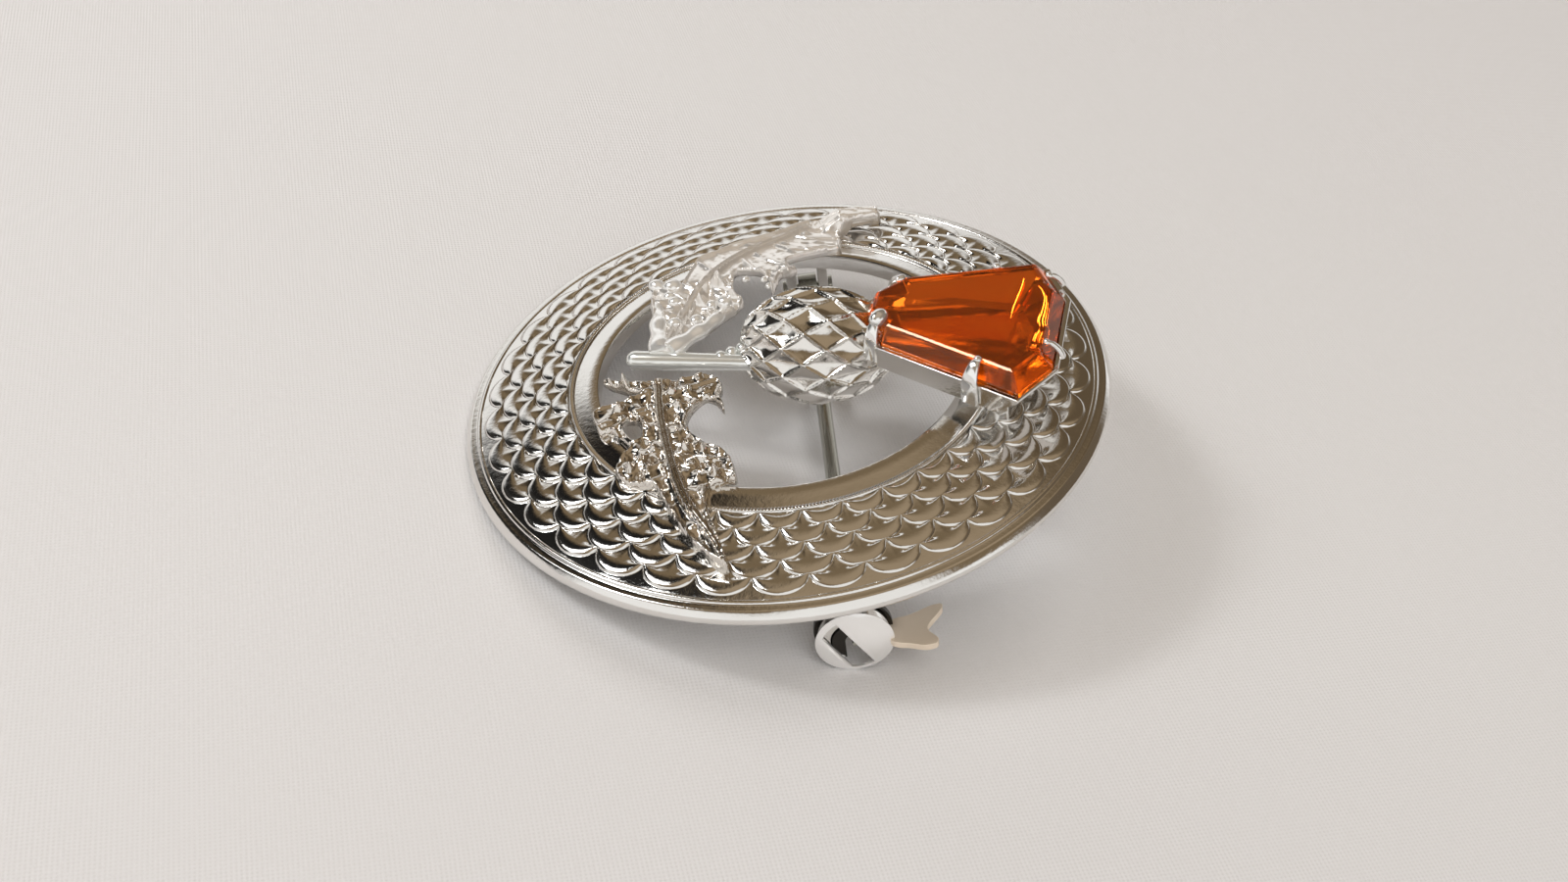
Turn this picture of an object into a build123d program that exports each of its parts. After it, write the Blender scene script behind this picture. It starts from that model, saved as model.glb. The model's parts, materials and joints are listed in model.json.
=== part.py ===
"""Thistle brooch: a cast ring with fish scales, a thistle across it and an orange stone.

Everything is drawn in the brooch's own flat frame first, in millimetres: the ring's
axis is Z, its decorated face looks up, the height 0 is the ring's outer top edge, and
the pin runs along Y. The last step lays the whole brooch down on its catch, its hinge
and the edge of its ring, as it lies on a table.
"""
import os
from math import asin, atan2, cos, degrees, hypot, pi, radians, sin, sqrt

from build123d import *

# The ring, from outside in
ring_radius = 23.5
hole_radius = 13.35
dome_rise = 1.85
rim_wall = 1.0
rim_round = 0.35
rim_band = 0.8
bead_width = 0.45
bead_rise = 0.22
inner_band = 2.2
ring_thickness = 1.3

# The fish scales
scales_per_row = 35
scale_rows = 5
first_scale_angle = 6.5
scale_inset = 0.15
scale_overlap = 0.7
scale_round = 1.45
scale_lift = 0.36
scale_gap = 0.16
scale_skirt = 0.65

# The thistle's stem and its beaded collar
stem_end = (-11.35, 3.31)
stem_neck = (-4.71, 1.07)
stem_height = 1.7
stem_radius = 0.52
collar_radius = 0.66
collar_beads = 3
rod_sides = 10
joint_overlap = 0.4

# The thistle's bulb
bulb_centre = (2.71, 1.33)
bulb_height = 1.9
bulb_half_length = 5.75
bulb_half_width = 4.5
bulb_half_depth = 4.1
bulb_angle = -15.0
bulb_columns = 12
bulb_rings = 8
bulb_dish = 0.3
bulb_reach = 0.93

# The near leaf, outlined by (along the leaf, to its side) from the stem
leaf_length = 21.4
leaf_width = 5.7
leaf_thickness = 0.85
leaf_float = 0.12
vein_width = 0.8
vein_rise = 0.35
near_leaf_root = (-8.6, 1.2)
near_leaf_angle = -79.1
leaf_outline = [
    (-0.07, 0.10), (0.05, 0.22), (0.0, 0.82), (0.11, 0.32), (0.165, 1.0), (0.285, 1.0),
    (0.22, 0.84), (0.26, 0.52), (0.34, 0.48), (0.40, 0.55), (0.46, 0.96), (0.495, 1.0),
    (0.56, 0.68), (0.62, 0.55), (0.79, 0.45), (0.915, 0.27), (1.0, 0.0), (0.87, 0.05),
    (0.74, 0.08), (0.68, -0.02), (0.69, -0.41), (0.55, -0.42), (0.45, -0.13),
    (0.325, -0.07), (0.32, -0.53), (0.185, -0.61), (0.12, -0.54), (0.10, -0.22), (-0.07, -0.10),
]
leaf_midrib = [(0.03, 0.03), (0.38, 0.21), (0.78, 0.20), (0.96, 0.05)]
leaf_veins = [
    [(0.14, 0.10), (0.19, 0.90)],
    [(0.42, 0.22), (0.48, 0.90)],
    [(0.14, 0.10), (0.22, -0.50)],
    [(0.44, 0.22), (0.62, -0.34)],
]

# The far leaf has its own shape, outlined in the plan from the left of its forked root
far_leaf_outline = [
    (-9.26, 2.71), (-9.15, 4.84), (-9.31, 7.33), (-9.41, 9.62), (-9.03, 11.05), (-8.35, 11.02),
    (-7.18, 10.39), (-6.80, 11.10), (-6.14, 12.94), (-5.58, 14.03), (-4.20, 14.55), (-2.63, 15.44),
    (-0.67, 15.95), (1.32, 16.61), (3.12, 17.90), (4.93, 17.75), (6.91, 17.68), (8.94, 17.48),
    (9.07, 16.45), (8.77, 16.13), (6.88, 16.02), (5.58, 15.34), (5.73, 14.18), (5.52, 12.71),
    (4.14, 12.62), (2.21, 12.10), (1.05, 11.69), (2.08, 10.13), (1.50, 9.62), (0.60, 9.70),
    (-0.04, 7.79), (-0.24, 8.21), (-0.25, 9.37), (-0.72, 10.12), (-1.44, 10.68), (-2.79, 11.12),
    (-3.01, 9.60), (-2.92, 8.17), (-2.21, 7.50), (-3.01, 6.56), (-3.48, 6.30), (-4.32, 5.74),
    (-5.71, 4.22), (-7.59, 2.36),
]
far_leaf_lines = [
    [(-8.75, 3.1), (-8.85, 6.0), (-8.85, 10.4)],
    [(-8.0, 2.9), (-5.9, 4.9), (-3.7, 6.7)],
    [(-6.3, 8.8), (-3.2, 12.6), (1.8, 15.7), (5.5, 16.7), (8.3, 16.9)],
]

# The stone, outlined by (along the thistle, to its side) from the middle of its length
stone_centre = (13.23, -2.03)
stone_angle = -24.3
stone_outline = [
    (6.1, 4.0), (3.9, 7.1), (-5.6, 3.3), (-7.3, 1.0),
    (-7.0, -1.3), (-5.1, -3.4), (5.6, -6.8), (7.1, -3.6),
]
girdle_height = 4.35
girdle_band = 0.35
crown_step_height = 0.85
crown_step_inset = 0.4
crown_bevel_height = 0.35
crown_bevel_inset = 0.4
pavilion_depth = 1.0
pavilion_inset = 1.9

# The setting that holds the stone
setting_wall = 0.45
setting_floor = 0.3
setting_bottom = 2.85
stone_clearance = 0.06
prong_width = 0.95
prong_thickness = 0.35
prong_reach = 1.1
prong_cover = 0.3
prong_lean = 0.25
prong_foot = 0.1
prong_hold = 0.15
prong_sides = [(4, 0.55), (5, 0.69), (7, 0.16), (0, 0.43), (1, 0.34), (2, 0.18)]
pad_inset = 0.7

# The pin and its hinge
pin_offset = 2.65
pin_radius = 0.55
pin_point_length = 3.0
pin_point_radius = 0.17
pin_root_radius = 0.95
pin_root_length = 3.0
hinge_from_centre = 18.6
hinge_eye_radius = 1.25
hinge_eye_width = 1.5
rivet_radius = 0.5
rivet_head_radius = 0.85
rivet_head_thickness = 0.3
ear_radius = 1.6
ear_thickness = 0.8
ear_gap = 0.12
pivot_clearance = 0.05
rivet_clearance = 0.03

# The turning catch: a fixed strap bent to a C and a slotted spool inside it
catch_from_centre = 21.6
catch_drop = 4.6
catch_width = 2.0
flange_radius = 2.62
flange_thickness = 0.5
hub_radius = 1.5
strap_radius = 2.4
strap_clearance = 0.05
side_clearance = 0.06
slot_width = 1.34
slot_lean = -60.0
strap_mouth_end = -117.0
strap_mouth_start = 9.0
strap_foot_width = 2.2
lever_reach = 6.1
lever_near_reach = 5.5
lever_angle = -4.0
lever_thickness = 0.5
lever_neck_width = 1.9
lever_tip_width = 2.9
lever_notch = 1.1
lever_root_overlap = 0.4
lever_neck_length = 0.9
lever_slot_gap = 0.2
rim_ring = 0.47
rim_chord_start = 141.0
rim_chord_end = -62.0
wedge_steps = 6
pin_tip_inset = 0.25


def dome(radius):
    """Height of the ring's plain face at a radius: a straight slope, highest at the hole."""
    return dome_rise * (ring_radius - radius) / (ring_radius - hole_radius)


def back(radius):
    """Height of the ring's back at a radius, from the rim's foot to the hole's."""
    share = (ring_radius - radius) / (ring_radius - hole_radius)
    return -rim_wall + (dome_rise - ring_thickness + rim_wall) * share


def turned(point, angle):
    """A plan point turned about the origin by an angle in degrees."""
    c = cos(radians(angle))
    s = sin(radians(angle))
    return (point[0] * c - point[1] * s, point[0] * s + point[1] * c)


table_height = girdle_height + girdle_band + crown_step_height + crown_bevel_height
field_outer = ring_radius - rim_band - bead_width
field_inner = hole_radius + inner_band
row_step = (field_outer - field_inner) / scale_rows
bead_middle = field_outer + bead_width / 2
inner_bead_middle = field_inner - bead_width / 2
field_sink = 0.12
leaf_sink = 0.3


# The ring's plate: one profile turned about Z
with BuildPart() as plate:
    with BuildSketch(Plane.XZ):
        with BuildLine():
            foot = (ring_radius - rim_round, back(ring_radius))
            wall_low = (ring_radius, back(ring_radius) + rim_round)
            wall_top = (ring_radius, -rim_round)
            edge_top = (ring_radius - rim_round, dome(ring_radius - rim_round))
            Line((hole_radius, back(hole_radius)), foot)
            RadiusArc(foot, wall_low, -rim_round)
            Line(wall_low, wall_top)
            RadiusArc(wall_top, edge_top, -rim_round)
            bead_out = (field_outer + bead_width, dome(field_outer + bead_width))
            bead_top = (bead_middle, dome(bead_middle) + bead_rise)
            bead_in = (field_outer, dome(field_outer) - field_sink)
            Line(edge_top, bead_out)
            ThreePointArc(bead_out, bead_top, bead_in)
            lip_out = (field_inner, dome(field_inner) - field_sink)
            lip_top = (inner_bead_middle, dome(inner_bead_middle) + bead_rise)
            lip_in = (field_inner - bead_width, dome(field_inner - bead_width))
            Line(bead_in, lip_out)
            ThreePointArc(lip_out, lip_top, lip_in)
            hole_top = (hole_radius, dome(hole_radius))
            Polyline(lip_in, hole_top, (hole_radius, back(hole_radius)))
        make_face()
    revolve(axis=Axis.Z)


def scale_outline(tip, width):
    """Corners of one scale seen from above: a rounded end outwards and a straight root."""
    root = tip - row_step - scale_overlap
    bend = tip - scale_round
    arc = []
    for angle in (0, 30, 60, 90, 120, 150, 180):
        arc.append((bend + scale_round * sin(radians(angle)), width / 2 * cos(radians(angle))))
    return arc + [(root, -width / 2 * 0.9), (root, width / 2 * 0.9)]


# Each row of scales stands on the ring and covers the roots of the row outside it
with BuildPart() as scales:
    for row in range(scale_rows):
        tip_radius = field_outer - scale_inset - row * row_step
        root_radius = max(tip_radius - row_step - scale_overlap, field_inner - bead_width)
        width = 2 * pi * (tip_radius - scale_round / 2) / scales_per_row - scale_gap
        rise = dome(tip_radius) + scale_lift - dome(root_radius)
        slope = degrees(atan2(rise, tip_radius - root_radius))
        top = Plane(
            origin=(tip_radius, 0, dome(tip_radius) + scale_lift),
            x_dir=(cos(radians(slope)), 0, sin(radians(slope))),
            z_dir=(-sin(radians(slope)), 0, cos(radians(slope))),
        )
        corners = [(x - tip_radius, y) for x, y in scale_outline(tip_radius, width)]
        with BuildPart(mode=Mode.PRIVATE) as one_scale:
            with BuildSketch(top):
                Polygon(*corners, align=None)
            extrude(amount=-scale_skirt)
        stagger = 180.0 / scales_per_row * (row % 2)
        with PolarLocations(0, scales_per_row, start_angle=first_scale_angle + stagger):
            add(one_scale.part)


def bulb_point(ring, column, lift=0.0):
    """A point on the bulb: rings of corners along the thistle, each turned by half a step."""
    along = bulb_reach * (2 * ring / bulb_rings - 1)
    round_it = 2 * pi * (column + 0.5 * (ring % 2)) / bulb_columns
    across = sqrt(1 - along * along)
    grow = 1 + lift / bulb_half_width
    return Vector(
        bulb_half_length * along,
        bulb_half_width * across * cos(round_it) * grow,
        bulb_half_depth * across * sin(round_it) * grow,
    )


def bulb_solid():
    """The thistle's bulb: diamonds between crossing ridges, each dished in its middle."""
    faces = []
    for end in (0, bulb_rings):
        rim = [bulb_point(end, column) for column in range(bulb_columns)]
        faces.append(Face(Wire.make_polygon(rim, close=True)))
    for ring in range(0, bulb_rings + 1):
        for column in range(bulb_columns):
            left = bulb_point(ring, column)
            right = bulb_point(ring, column + 1)
            past = column + (1 if ring % 2 else 0)
            if ring == 0:
                corners = [left, right, bulb_point(1, column)]
                faces.append(Face(Wire.make_polygon(corners, close=True)))
                continue
            if ring == bulb_rings:
                corners = [left, right, bulb_point(ring - 1, past)]
                if (ring - 1) % 2:
                    corners = [left, right, bulb_point(ring - 1, column)]
                faces.append(Face(Wire.make_polygon(corners, close=True)))
                continue
            before = bulb_point(ring - 1, past)
            after = bulb_point(ring + 1, past)
            middle = bulb_point(ring, column + 0.5, -bulb_dish)
            loop = [left, before, right, after]
            for step in range(4):
                corners = [loop[step], loop[(step + 1) % 4], middle]
                faces.append(Face(Wire.make_polygon(corners, close=True)))
    return Solid(Shell(faces))


bulb_place = Location((bulb_centre[0], bulb_centre[1], bulb_height), (0, 0, bulb_angle))
bulb_shape = bulb_place * bulb_solid()
with BuildPart() as bulb:
    add(bulb_shape)
    with Locations((bulb_centre[0], bulb_centre[1], -rim_wall)):
        Box(
            4 * bulb_half_length,
            4 * bulb_half_length,
            2 * bulb_half_depth,
            align=(Align.CENTER, Align.CENTER, Align.MAX),
            mode=Mode.SUBTRACT,
        )

# The stem is a round rod, and its collar a few beads in a row up to the bulb
stem_run = hypot(stem_neck[0] - stem_end[0], stem_neck[1] - stem_end[1])
stem_direction = degrees(atan2(stem_neck[1] - stem_end[1], stem_neck[0] - stem_end[0]))
stem_plane = Plane(
    origin=(stem_end[0], stem_end[1], stem_height),
    z_dir=(cos(radians(stem_direction)), sin(radians(stem_direction)), 0),
)
bulb_pole = turned((-bulb_reach * bulb_half_length, 0), bulb_angle)
bulb_pole = (bulb_centre[0] + bulb_pole[0], bulb_centre[1] + bulb_pole[1])
collar_start = Vector(stem_neck[0], stem_neck[1], stem_height)
collar_stop = Vector(bulb_pole[0], bulb_pole[1], bulb_height)
collar_way = collar_stop - collar_start
with BuildPart() as stem:
    with BuildSketch(stem_plane):
        RegularPolygon(stem_radius, rod_sides)
    extrude(amount=stem_run)
    with BuildSketch(Plane(origin=collar_start, z_dir=collar_way)):
        RegularPolygon(stem_radius, rod_sides)
    extrude(amount=collar_way.length + joint_overlap)
    for bead in range(collar_beads):
        share = (bead + 0.2) / collar_beads
        half_bead = collar_way.length / collar_beads * 0.42
        with BuildSketch(Plane(origin=collar_start + collar_way * share, z_dir=collar_way)):
            RegularPolygon(collar_radius, rod_sides)
        extrude(amount=half_bead)


def leaf_points(shares):
    """Plan points of the near leaf from their shares of its length and width."""
    points = []
    for along, across in shares:
        x, y = turned((along * leaf_length, -across * leaf_width), near_leaf_angle)
        points.append((near_leaf_root[0] + x, near_leaf_root[1] + y))
    return points


def bar_points(start, end, width):
    """Corners of a straight bar of one width between two plan points."""
    length = hypot(end[0] - start[0], end[1] - start[1])
    across = (-(end[1] - start[1]) / length * width / 2, (end[0] - start[0]) / length * width / 2)
    return [
        (start[0] + across[0], start[1] + across[1]),
        (start[0] - across[0], start[1] - across[1]),
        (end[0] - across[0], end[1] - across[1]),
        (end[0] + across[0], end[1] + across[1]),
    ]


def leaf_shell(extra):
    """A turned shell that follows the ring's face, level over the hole, for cutting leaves."""
    low = dome_rise + leaf_float - leaf_thickness / 2
    with BuildPart(mode=Mode.PRIVATE) as shell:
        with BuildSketch(Plane.XZ):
            Polygon(
                (0, low),
                (hole_radius, low),
                (hole_radius + 0.3, dome(hole_radius) - field_sink - leaf_sink),
                (ring_radius - rim_band, dome(ring_radius - rim_band) - field_sink - leaf_sink),
                (ring_radius - rim_band, dome(ring_radius - rim_band) + leaf_thickness + extra),
                (hole_radius, low + leaf_thickness + extra),
                (0, low + leaf_thickness + extra),
                align=None,
            )
        revolve(axis=Axis.Z)
    return shell.part


def leaf_part(outline, lines):
    """One leaf: its outline cut from the thin shell, with raised lines for its ribs."""
    tall = 2 * (dome_rise + leaf_thickness)
    with BuildPart(mode=Mode.PRIVATE) as blade:
        with BuildSketch(Plane.XY):
            Polygon(*outline, align=None)
        extrude(amount=tall)
        add(leaf_shell(0.0), mode=Mode.INTERSECT)
    with BuildPart(mode=Mode.PRIVATE) as veins:
        with BuildSketch(Plane.XY):
            for line in lines:
                for start, end in zip(line[:-1], line[1:]):
                    Polygon(*bar_points(start, end, vein_width), align=None)
        extrude(amount=tall)
        add(leaf_shell(vein_rise), mode=Mode.INTERSECT)
    return blade.part + veins.part


near_leaf_outline = leaf_points(leaf_outline)
near_leaf_lines = [leaf_points(line) for line in [leaf_midrib] + leaf_veins]
near_leaf = leaf_part(near_leaf_outline, near_leaf_lines)
far_leaf = leaf_part(far_leaf_outline, far_leaf_lines)


def stone_corners(inset):
    """Corners of the stone seen from above, with each side moved in by an inset."""
    corners = stone_outline
    moved = []
    for here in range(len(corners)):
        before, middle, after = corners[here - 1], corners[here], corners[(here + 1) % len(corners)]
        way_in = Vector(middle[0] - before[0], middle[1] - before[1]).normalized()
        way_out = Vector(after[0] - middle[0], after[1] - middle[1]).normalized()
        # both sides shift by the inset, so the corner slides along the line between them
        slide = inset / (1 + way_in.dot(way_out))
        normals = Vector(-way_in.Y - way_out.Y, way_in.X + way_out.X)
        moved.append((middle[0] + normals.X * slide, middle[1] + normals.Y * slide))
    return moved


def stone_plane(height):
    """A level plane at a height, centred on the stone and turned along the thistle."""
    return Plane(
        origin=(stone_centre[0], stone_centre[1], height),
        x_dir=(cos(radians(stone_angle)), sin(radians(stone_angle)), 0),
        z_dir=(0, 0, 1),
    )


def cut_stone(grow):
    """The faceted stone: step pavilion, girdle, two steps of crown facets and a table."""
    sections = [
        (girdle_height - pavilion_depth - grow, pavilion_inset),
        (girdle_height - grow, 0.0),
        (girdle_height + girdle_band, 0.0),
        (girdle_height + girdle_band + crown_step_height, crown_step_inset),
        (table_height + grow, crown_step_inset + crown_bevel_inset),
    ]
    with BuildPart(mode=Mode.PRIVATE) as gem:
        for height, inset in sections:
            with BuildSketch(stone_plane(height)):
                Polygon(*stone_corners(inset - grow), align=None)
        loft(ruled=True)
    return gem.part


setting_top = girdle_height + girdle_band / 2


def prong_part(side, share):
    """One prong: a strip up the wall on one side of the stone that leans in over the crown."""
    start = stone_outline[side]
    end = stone_outline[(side + 1) % len(stone_outline)]
    middle = Vector(start[0] + (end[0] - start[0]) * share, start[1] + (end[1] - start[1]) * share, 0)
    inward = degrees(atan2(end[1] - start[1], end[0] - start[0])) + 90
    spot = stone_plane(0).from_local_coords(middle)
    heading = stone_angle + inward
    side_plane = Plane(
        origin=(spot.X, spot.Y, 0),
        x_dir=(cos(radians(heading)), sin(radians(heading)), 0),
        z_dir=(sin(radians(heading)), -cos(radians(heading)), 0),
    )
    outer = -setting_wall - prong_thickness
    top = table_height + prong_cover
    profile = [
        (outer, setting_bottom),
        (outer, girdle_height + girdle_band),
        (outer + prong_lean, girdle_height + girdle_band + crown_step_height),
        (prong_reach * 0.35, top),
        (prong_reach * 0.8, top),
        (prong_reach, top - prong_cover * 0.7),
        (prong_reach, table_height - prong_hold),
        (prong_foot, girdle_height),
        (prong_foot, setting_bottom),
    ]
    with BuildPart(mode=Mode.PRIVATE) as prong:
        with BuildSketch(side_plane):
            Polygon(*profile, align=None)
        extrude(amount=prong_width / 2, both=True)
    return prong.part


stone_room = cut_stone(stone_clearance)
with BuildPart() as setting:
    with BuildSketch(stone_plane(setting_bottom)):
        Polygon(*stone_corners(-stone_clearance - setting_wall), align=None)
    extrude(amount=setting_top - setting_bottom)
    with BuildSketch(stone_plane(setting_bottom + setting_floor)):
        Polygon(*stone_corners(-stone_clearance), align=None)
    extrude(amount=setting_top - setting_bottom, mode=Mode.SUBTRACT)
    for side, share in prong_sides:
        add(prong_part(side, share))
    with BuildSketch(stone_plane(dome(hole_radius) / 2)):
        Polygon(*stone_corners(pad_inset), align=None)
    extrude(amount=setting_bottom - dome(hole_radius) / 2)
    with BuildPart(mode=Mode.PRIVATE) as clear_hole:
        Cylinder(hole_radius + 0.2, 4 * table_height)
        with Locations((0, 0, setting_bottom)):
            Box(
                4 * ring_radius,
                4 * ring_radius,
                4 * table_height,
                align=(Align.CENTER, Align.CENTER, Align.MIN),
                mode=Mode.SUBTRACT,
            )
    add(clear_hole.part, mode=Mode.SUBTRACT)

with BuildPart() as stone:
    add(cut_stone(0.0))

# How far the brooch leans: its table touches the catch's round flange and the ring's edge
edge_x = ring_radius - rim_round
edge_z = back(ring_radius)
reach = hypot(pin_offset + edge_x, -catch_drop - edge_z)
lean = degrees(asin(flange_radius / reach)) - degrees(
    atan2(-catch_drop - edge_z, pin_offset + edge_x)
)

# The hinge: two ears soldered to the ring's back, as low as the lean asks for
ear_half_span = hinge_eye_width / 2 + ear_gap + ear_thickness
ear_bottom = (
    -catch_drop - (flange_radius - ear_half_span * sin(radians(lean))) / cos(radians(lean))
)
pivot_z = ear_bottom + ear_radius
pivot = (pin_offset, hinge_from_centre, pivot_z)
ear_top = back(hinge_from_centre) + joint_overlap
with BuildPart() as hinge_ears:
    for side in (-1, 1):
        start = pin_offset + side * (hinge_eye_width / 2 + ear_gap)
        ear_plane = Plane(origin=(start, hinge_from_centre, pivot_z), x_dir=(0, 1, 0), z_dir=(1, 0, 0))
        with BuildSketch(ear_plane):
            Circle(ear_radius)
            with Locations((0, (ear_top - pivot_z) / 2)):
                Rectangle(2 * ear_radius, ear_top - pivot_z)
            Circle(rivet_radius + rivet_clearance, mode=Mode.SUBTRACT)
        extrude(amount=side * ear_thickness)

# The pin's rivet, with a low head outside each ear
with BuildPart() as hinge_rivet:
    with BuildSketch(Plane(origin=pivot, x_dir=(0, 1, 0), z_dir=(1, 0, 0))):
        Circle(rivet_radius)
    extrude(amount=ear_half_span + side_clearance, both=True)
    for side in (-1, 1):
        start = pin_offset + side * (ear_half_span + side_clearance)
        with BuildSketch(Plane(origin=(start, pivot[1], pivot_z), x_dir=(0, 1, 0), z_dir=(1, 0, 0))):
            Circle(rivet_head_radius)
        extrude(amount=side * rivet_head_thickness)

# The pin: an eye round the rivet and a straight wire into the middle of the catch
catch_centre = (pin_offset, -catch_from_centre, -catch_drop)
pin_end_y = -catch_from_centre - catch_width / 2 + pin_tip_inset
pin_rise = (-catch_drop - pivot_z) * (pin_end_y - pivot[1]) / (-catch_from_centre - pivot[1])
pin_way = Vector(0, pin_end_y - pivot[1], pin_rise)
pin_root_start = hinge_eye_radius * 0.6
pin_root_end = hinge_eye_radius + pin_root_length


def pin_plane(distance):
    """A plane across the pin at a distance from the pivot."""
    return Plane(origin=Vector(*pivot) + pin_way.normalized() * distance, z_dir=pin_way)


with BuildPart() as pin_stem:
    with BuildSketch(Plane(origin=pivot, x_dir=(0, 1, 0), z_dir=(1, 0, 0))):
        Circle(hinge_eye_radius)
    extrude(amount=hinge_eye_width / 2, both=True)
    with BuildSketch(pin_plane(pin_root_start)):
        Circle(min(pin_root_radius, hinge_eye_width / 2))
    with BuildSketch(pin_plane(pin_root_end)):
        Circle(pin_radius)
    loft()
    with BuildSketch(pin_plane(pin_root_end)):
        Circle(pin_radius)
    extrude(amount=pin_way.length - pin_point_length - pin_root_end)
    with BuildSketch(pin_plane(pin_way.length - pin_point_length)):
        Circle(pin_radius)
    with BuildSketch(pin_plane(pin_way.length)):
        Circle(pin_point_radius)
    loft()
    with BuildSketch(Plane(origin=pivot, x_dir=(0, 1, 0), z_dir=(1, 0, 0))):
        Circle(rivet_radius + pivot_clearance)
    extrude(amount=hinge_eye_width, both=True, mode=Mode.SUBTRACT)


def catch_plane(offset_y):
    """An upright plane across the catch's axis: its x is to the right, its y is up."""
    return Plane(
        origin=(pin_offset, -catch_from_centre + offset_y, -catch_drop),
        x_dir=(1, 0, 0),
        z_dir=(0, -1, 0),
    )


def arc_points(start_angle, end_angle, radius):
    """Points in even steps along an arc about the catch's axis."""
    points = []
    for step in range(wedge_steps + 1):
        angle = radians(start_angle + (end_angle - start_angle) * step / wedge_steps)
        points.append((radius * cos(angle), radius * sin(angle)))
    return points


# The catch's fixed part: a strap bent to a C round the spool, on a foot
strap_width = catch_width - 2 * flange_thickness - 2 * side_clearance
strap_hole = hub_radius + strap_clearance
foot_top = back(catch_from_centre) + joint_overlap
with BuildPart() as catch_strap:
    with BuildSketch(catch_plane(strap_width / 2)):
        Circle(strap_radius)
        with Locations((0, (foot_top + catch_drop) / 2)):
            Rectangle(strap_foot_width, foot_top + catch_drop)
        Circle(strap_hole, mode=Mode.SUBTRACT)
        Polygon(
            (0, 0),
            *arc_points(strap_mouth_end, strap_mouth_start, 2 * strap_radius),
            align=None,
            mode=Mode.SUBTRACT,
        )
    extrude(amount=strap_width)


def slot_points():
    """Corners of the spool's slot: one edge straight down, the other leaning away from it."""
    half = slot_width / 2
    lean_way = (cos(radians(slot_lean)), sin(radians(slot_lean)))
    touch = (-half * lean_way[1], half * lean_way[0])
    deep = 2 * flange_radius
    return [
        (-half, 0),
        (-half, -deep),
        (touch[0] + deep * lean_way[0], -deep),
        (touch[0] + deep * lean_way[0], touch[1] + deep * lean_way[1]),
        touch,
    ]


# The catch's spool: a hub between two flanges, slotted for the pin, with a forked lever.
# The front flange is a plate on one side only, beyond it a thin rim runs round the hollow.
lever_plane = Plane(
    origin=(pin_offset, -catch_from_centre, -catch_drop),
    x_dir=(cos(radians(lever_angle)), 0, sin(radians(lever_angle))),
    z_dir=(-sin(radians(lever_angle)), 0, cos(radians(lever_angle))),
)
with BuildPart() as catch_rotor:
    with BuildSketch(catch_plane(catch_width / 2 - flange_thickness)):
        Circle(hub_radius)
    extrude(amount=catch_width - flange_thickness)
    with BuildSketch(catch_plane(catch_width / 2)):
        Circle(flange_radius)
    extrude(amount=flange_thickness)
    with BuildSketch(catch_plane(-catch_width / 2 + flange_thickness)):
        Circle(flange_radius)
        hollow = arc_points(rim_chord_start, 360 + rim_chord_end, flange_radius - rim_ring)
        Polygon(*hollow, align=None, mode=Mode.SUBTRACT)
    extrude(amount=flange_thickness)
    with BuildSketch(lever_plane):
        Polygon(
            (slot_width / 2 + lever_slot_gap, -strap_width / 2),
            (flange_radius - lever_root_overlap, -strap_width / 2),
            (flange_radius - lever_root_overlap, -lever_neck_width / 2),
            (flange_radius + lever_neck_length, -lever_neck_width / 2),
            (lever_near_reach, -lever_tip_width / 2),
            (lever_near_reach - lever_notch, 0),
            (lever_reach, lever_tip_width / 2),
            (flange_radius + lever_neck_length, lever_neck_width / 2),
            (flange_radius - lever_root_overlap, lever_neck_width / 2),
            (flange_radius - lever_root_overlap, strap_width / 2),
            (slot_width / 2 + lever_slot_gap, strap_width / 2),
            align=None,
        )
    extrude(amount=lever_thickness / 2, both=True)
    with BuildSketch(catch_plane(catch_width)):
        Circle(slot_width / 2)
        Polygon(*slot_points(), align=None)
    extrude(amount=2 * catch_width, mode=Mode.SUBTRACT)

# What is soldered together is one solid: ring, scales, thistle, setting, ears and strap
with BuildPart() as ring_and_thistle:
    add(plate.part)
    add(scales.part)
    add(near_leaf)
    add(far_leaf)
    add(stem.part)
    add(bulb.part)
    add(setting.part)
    add(hinge_ears.part)
    add(catch_strap.part)
    add(stone_room, mode=Mode.SUBTRACT)

# Lay the brooch down: lean it about Y, then stand its lowest point on the height 0
pieces = {
    "ring_and_thistle": ring_and_thistle,
    "stone": stone,
    "pin_stem": pin_stem,
    "hinge_rivet": hinge_rivet,
    "catch_rotor": catch_rotor,
}
leaning = Rotation(0, -lean, 0)
box = Compound(children=[leaning * piece.part for piece in pieces.values()]).bounding_box()
middle = box.center()
laid = Pos(-middle.X, -middle.Y, -box.min.Z) * leaning

os.makedirs("parts", exist_ok=True)
ring_and_thistle.part = laid * ring_and_thistle.part
ring_and_thistle.part.label = "ring_and_thistle"
export_step(ring_and_thistle.part, "parts/ring_and_thistle.step")
stone.part = laid * stone.part
stone.part.label = "stone"
export_step(stone.part, "parts/stone.step")
pin_stem.part = laid * pin_stem.part
pin_stem.part.label = "pin_stem"
export_step(pin_stem.part, "parts/pin_stem.step")
hinge_rivet.part = laid * hinge_rivet.part
hinge_rivet.part.label = "hinge_rivet"
export_step(hinge_rivet.part, "parts/hinge_rivet.step")
catch_rotor.part = laid * catch_rotor.part
catch_rotor.part.label = "catch_rotor"
export_step(catch_rotor.part, "parts/catch_rotor.step")

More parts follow.
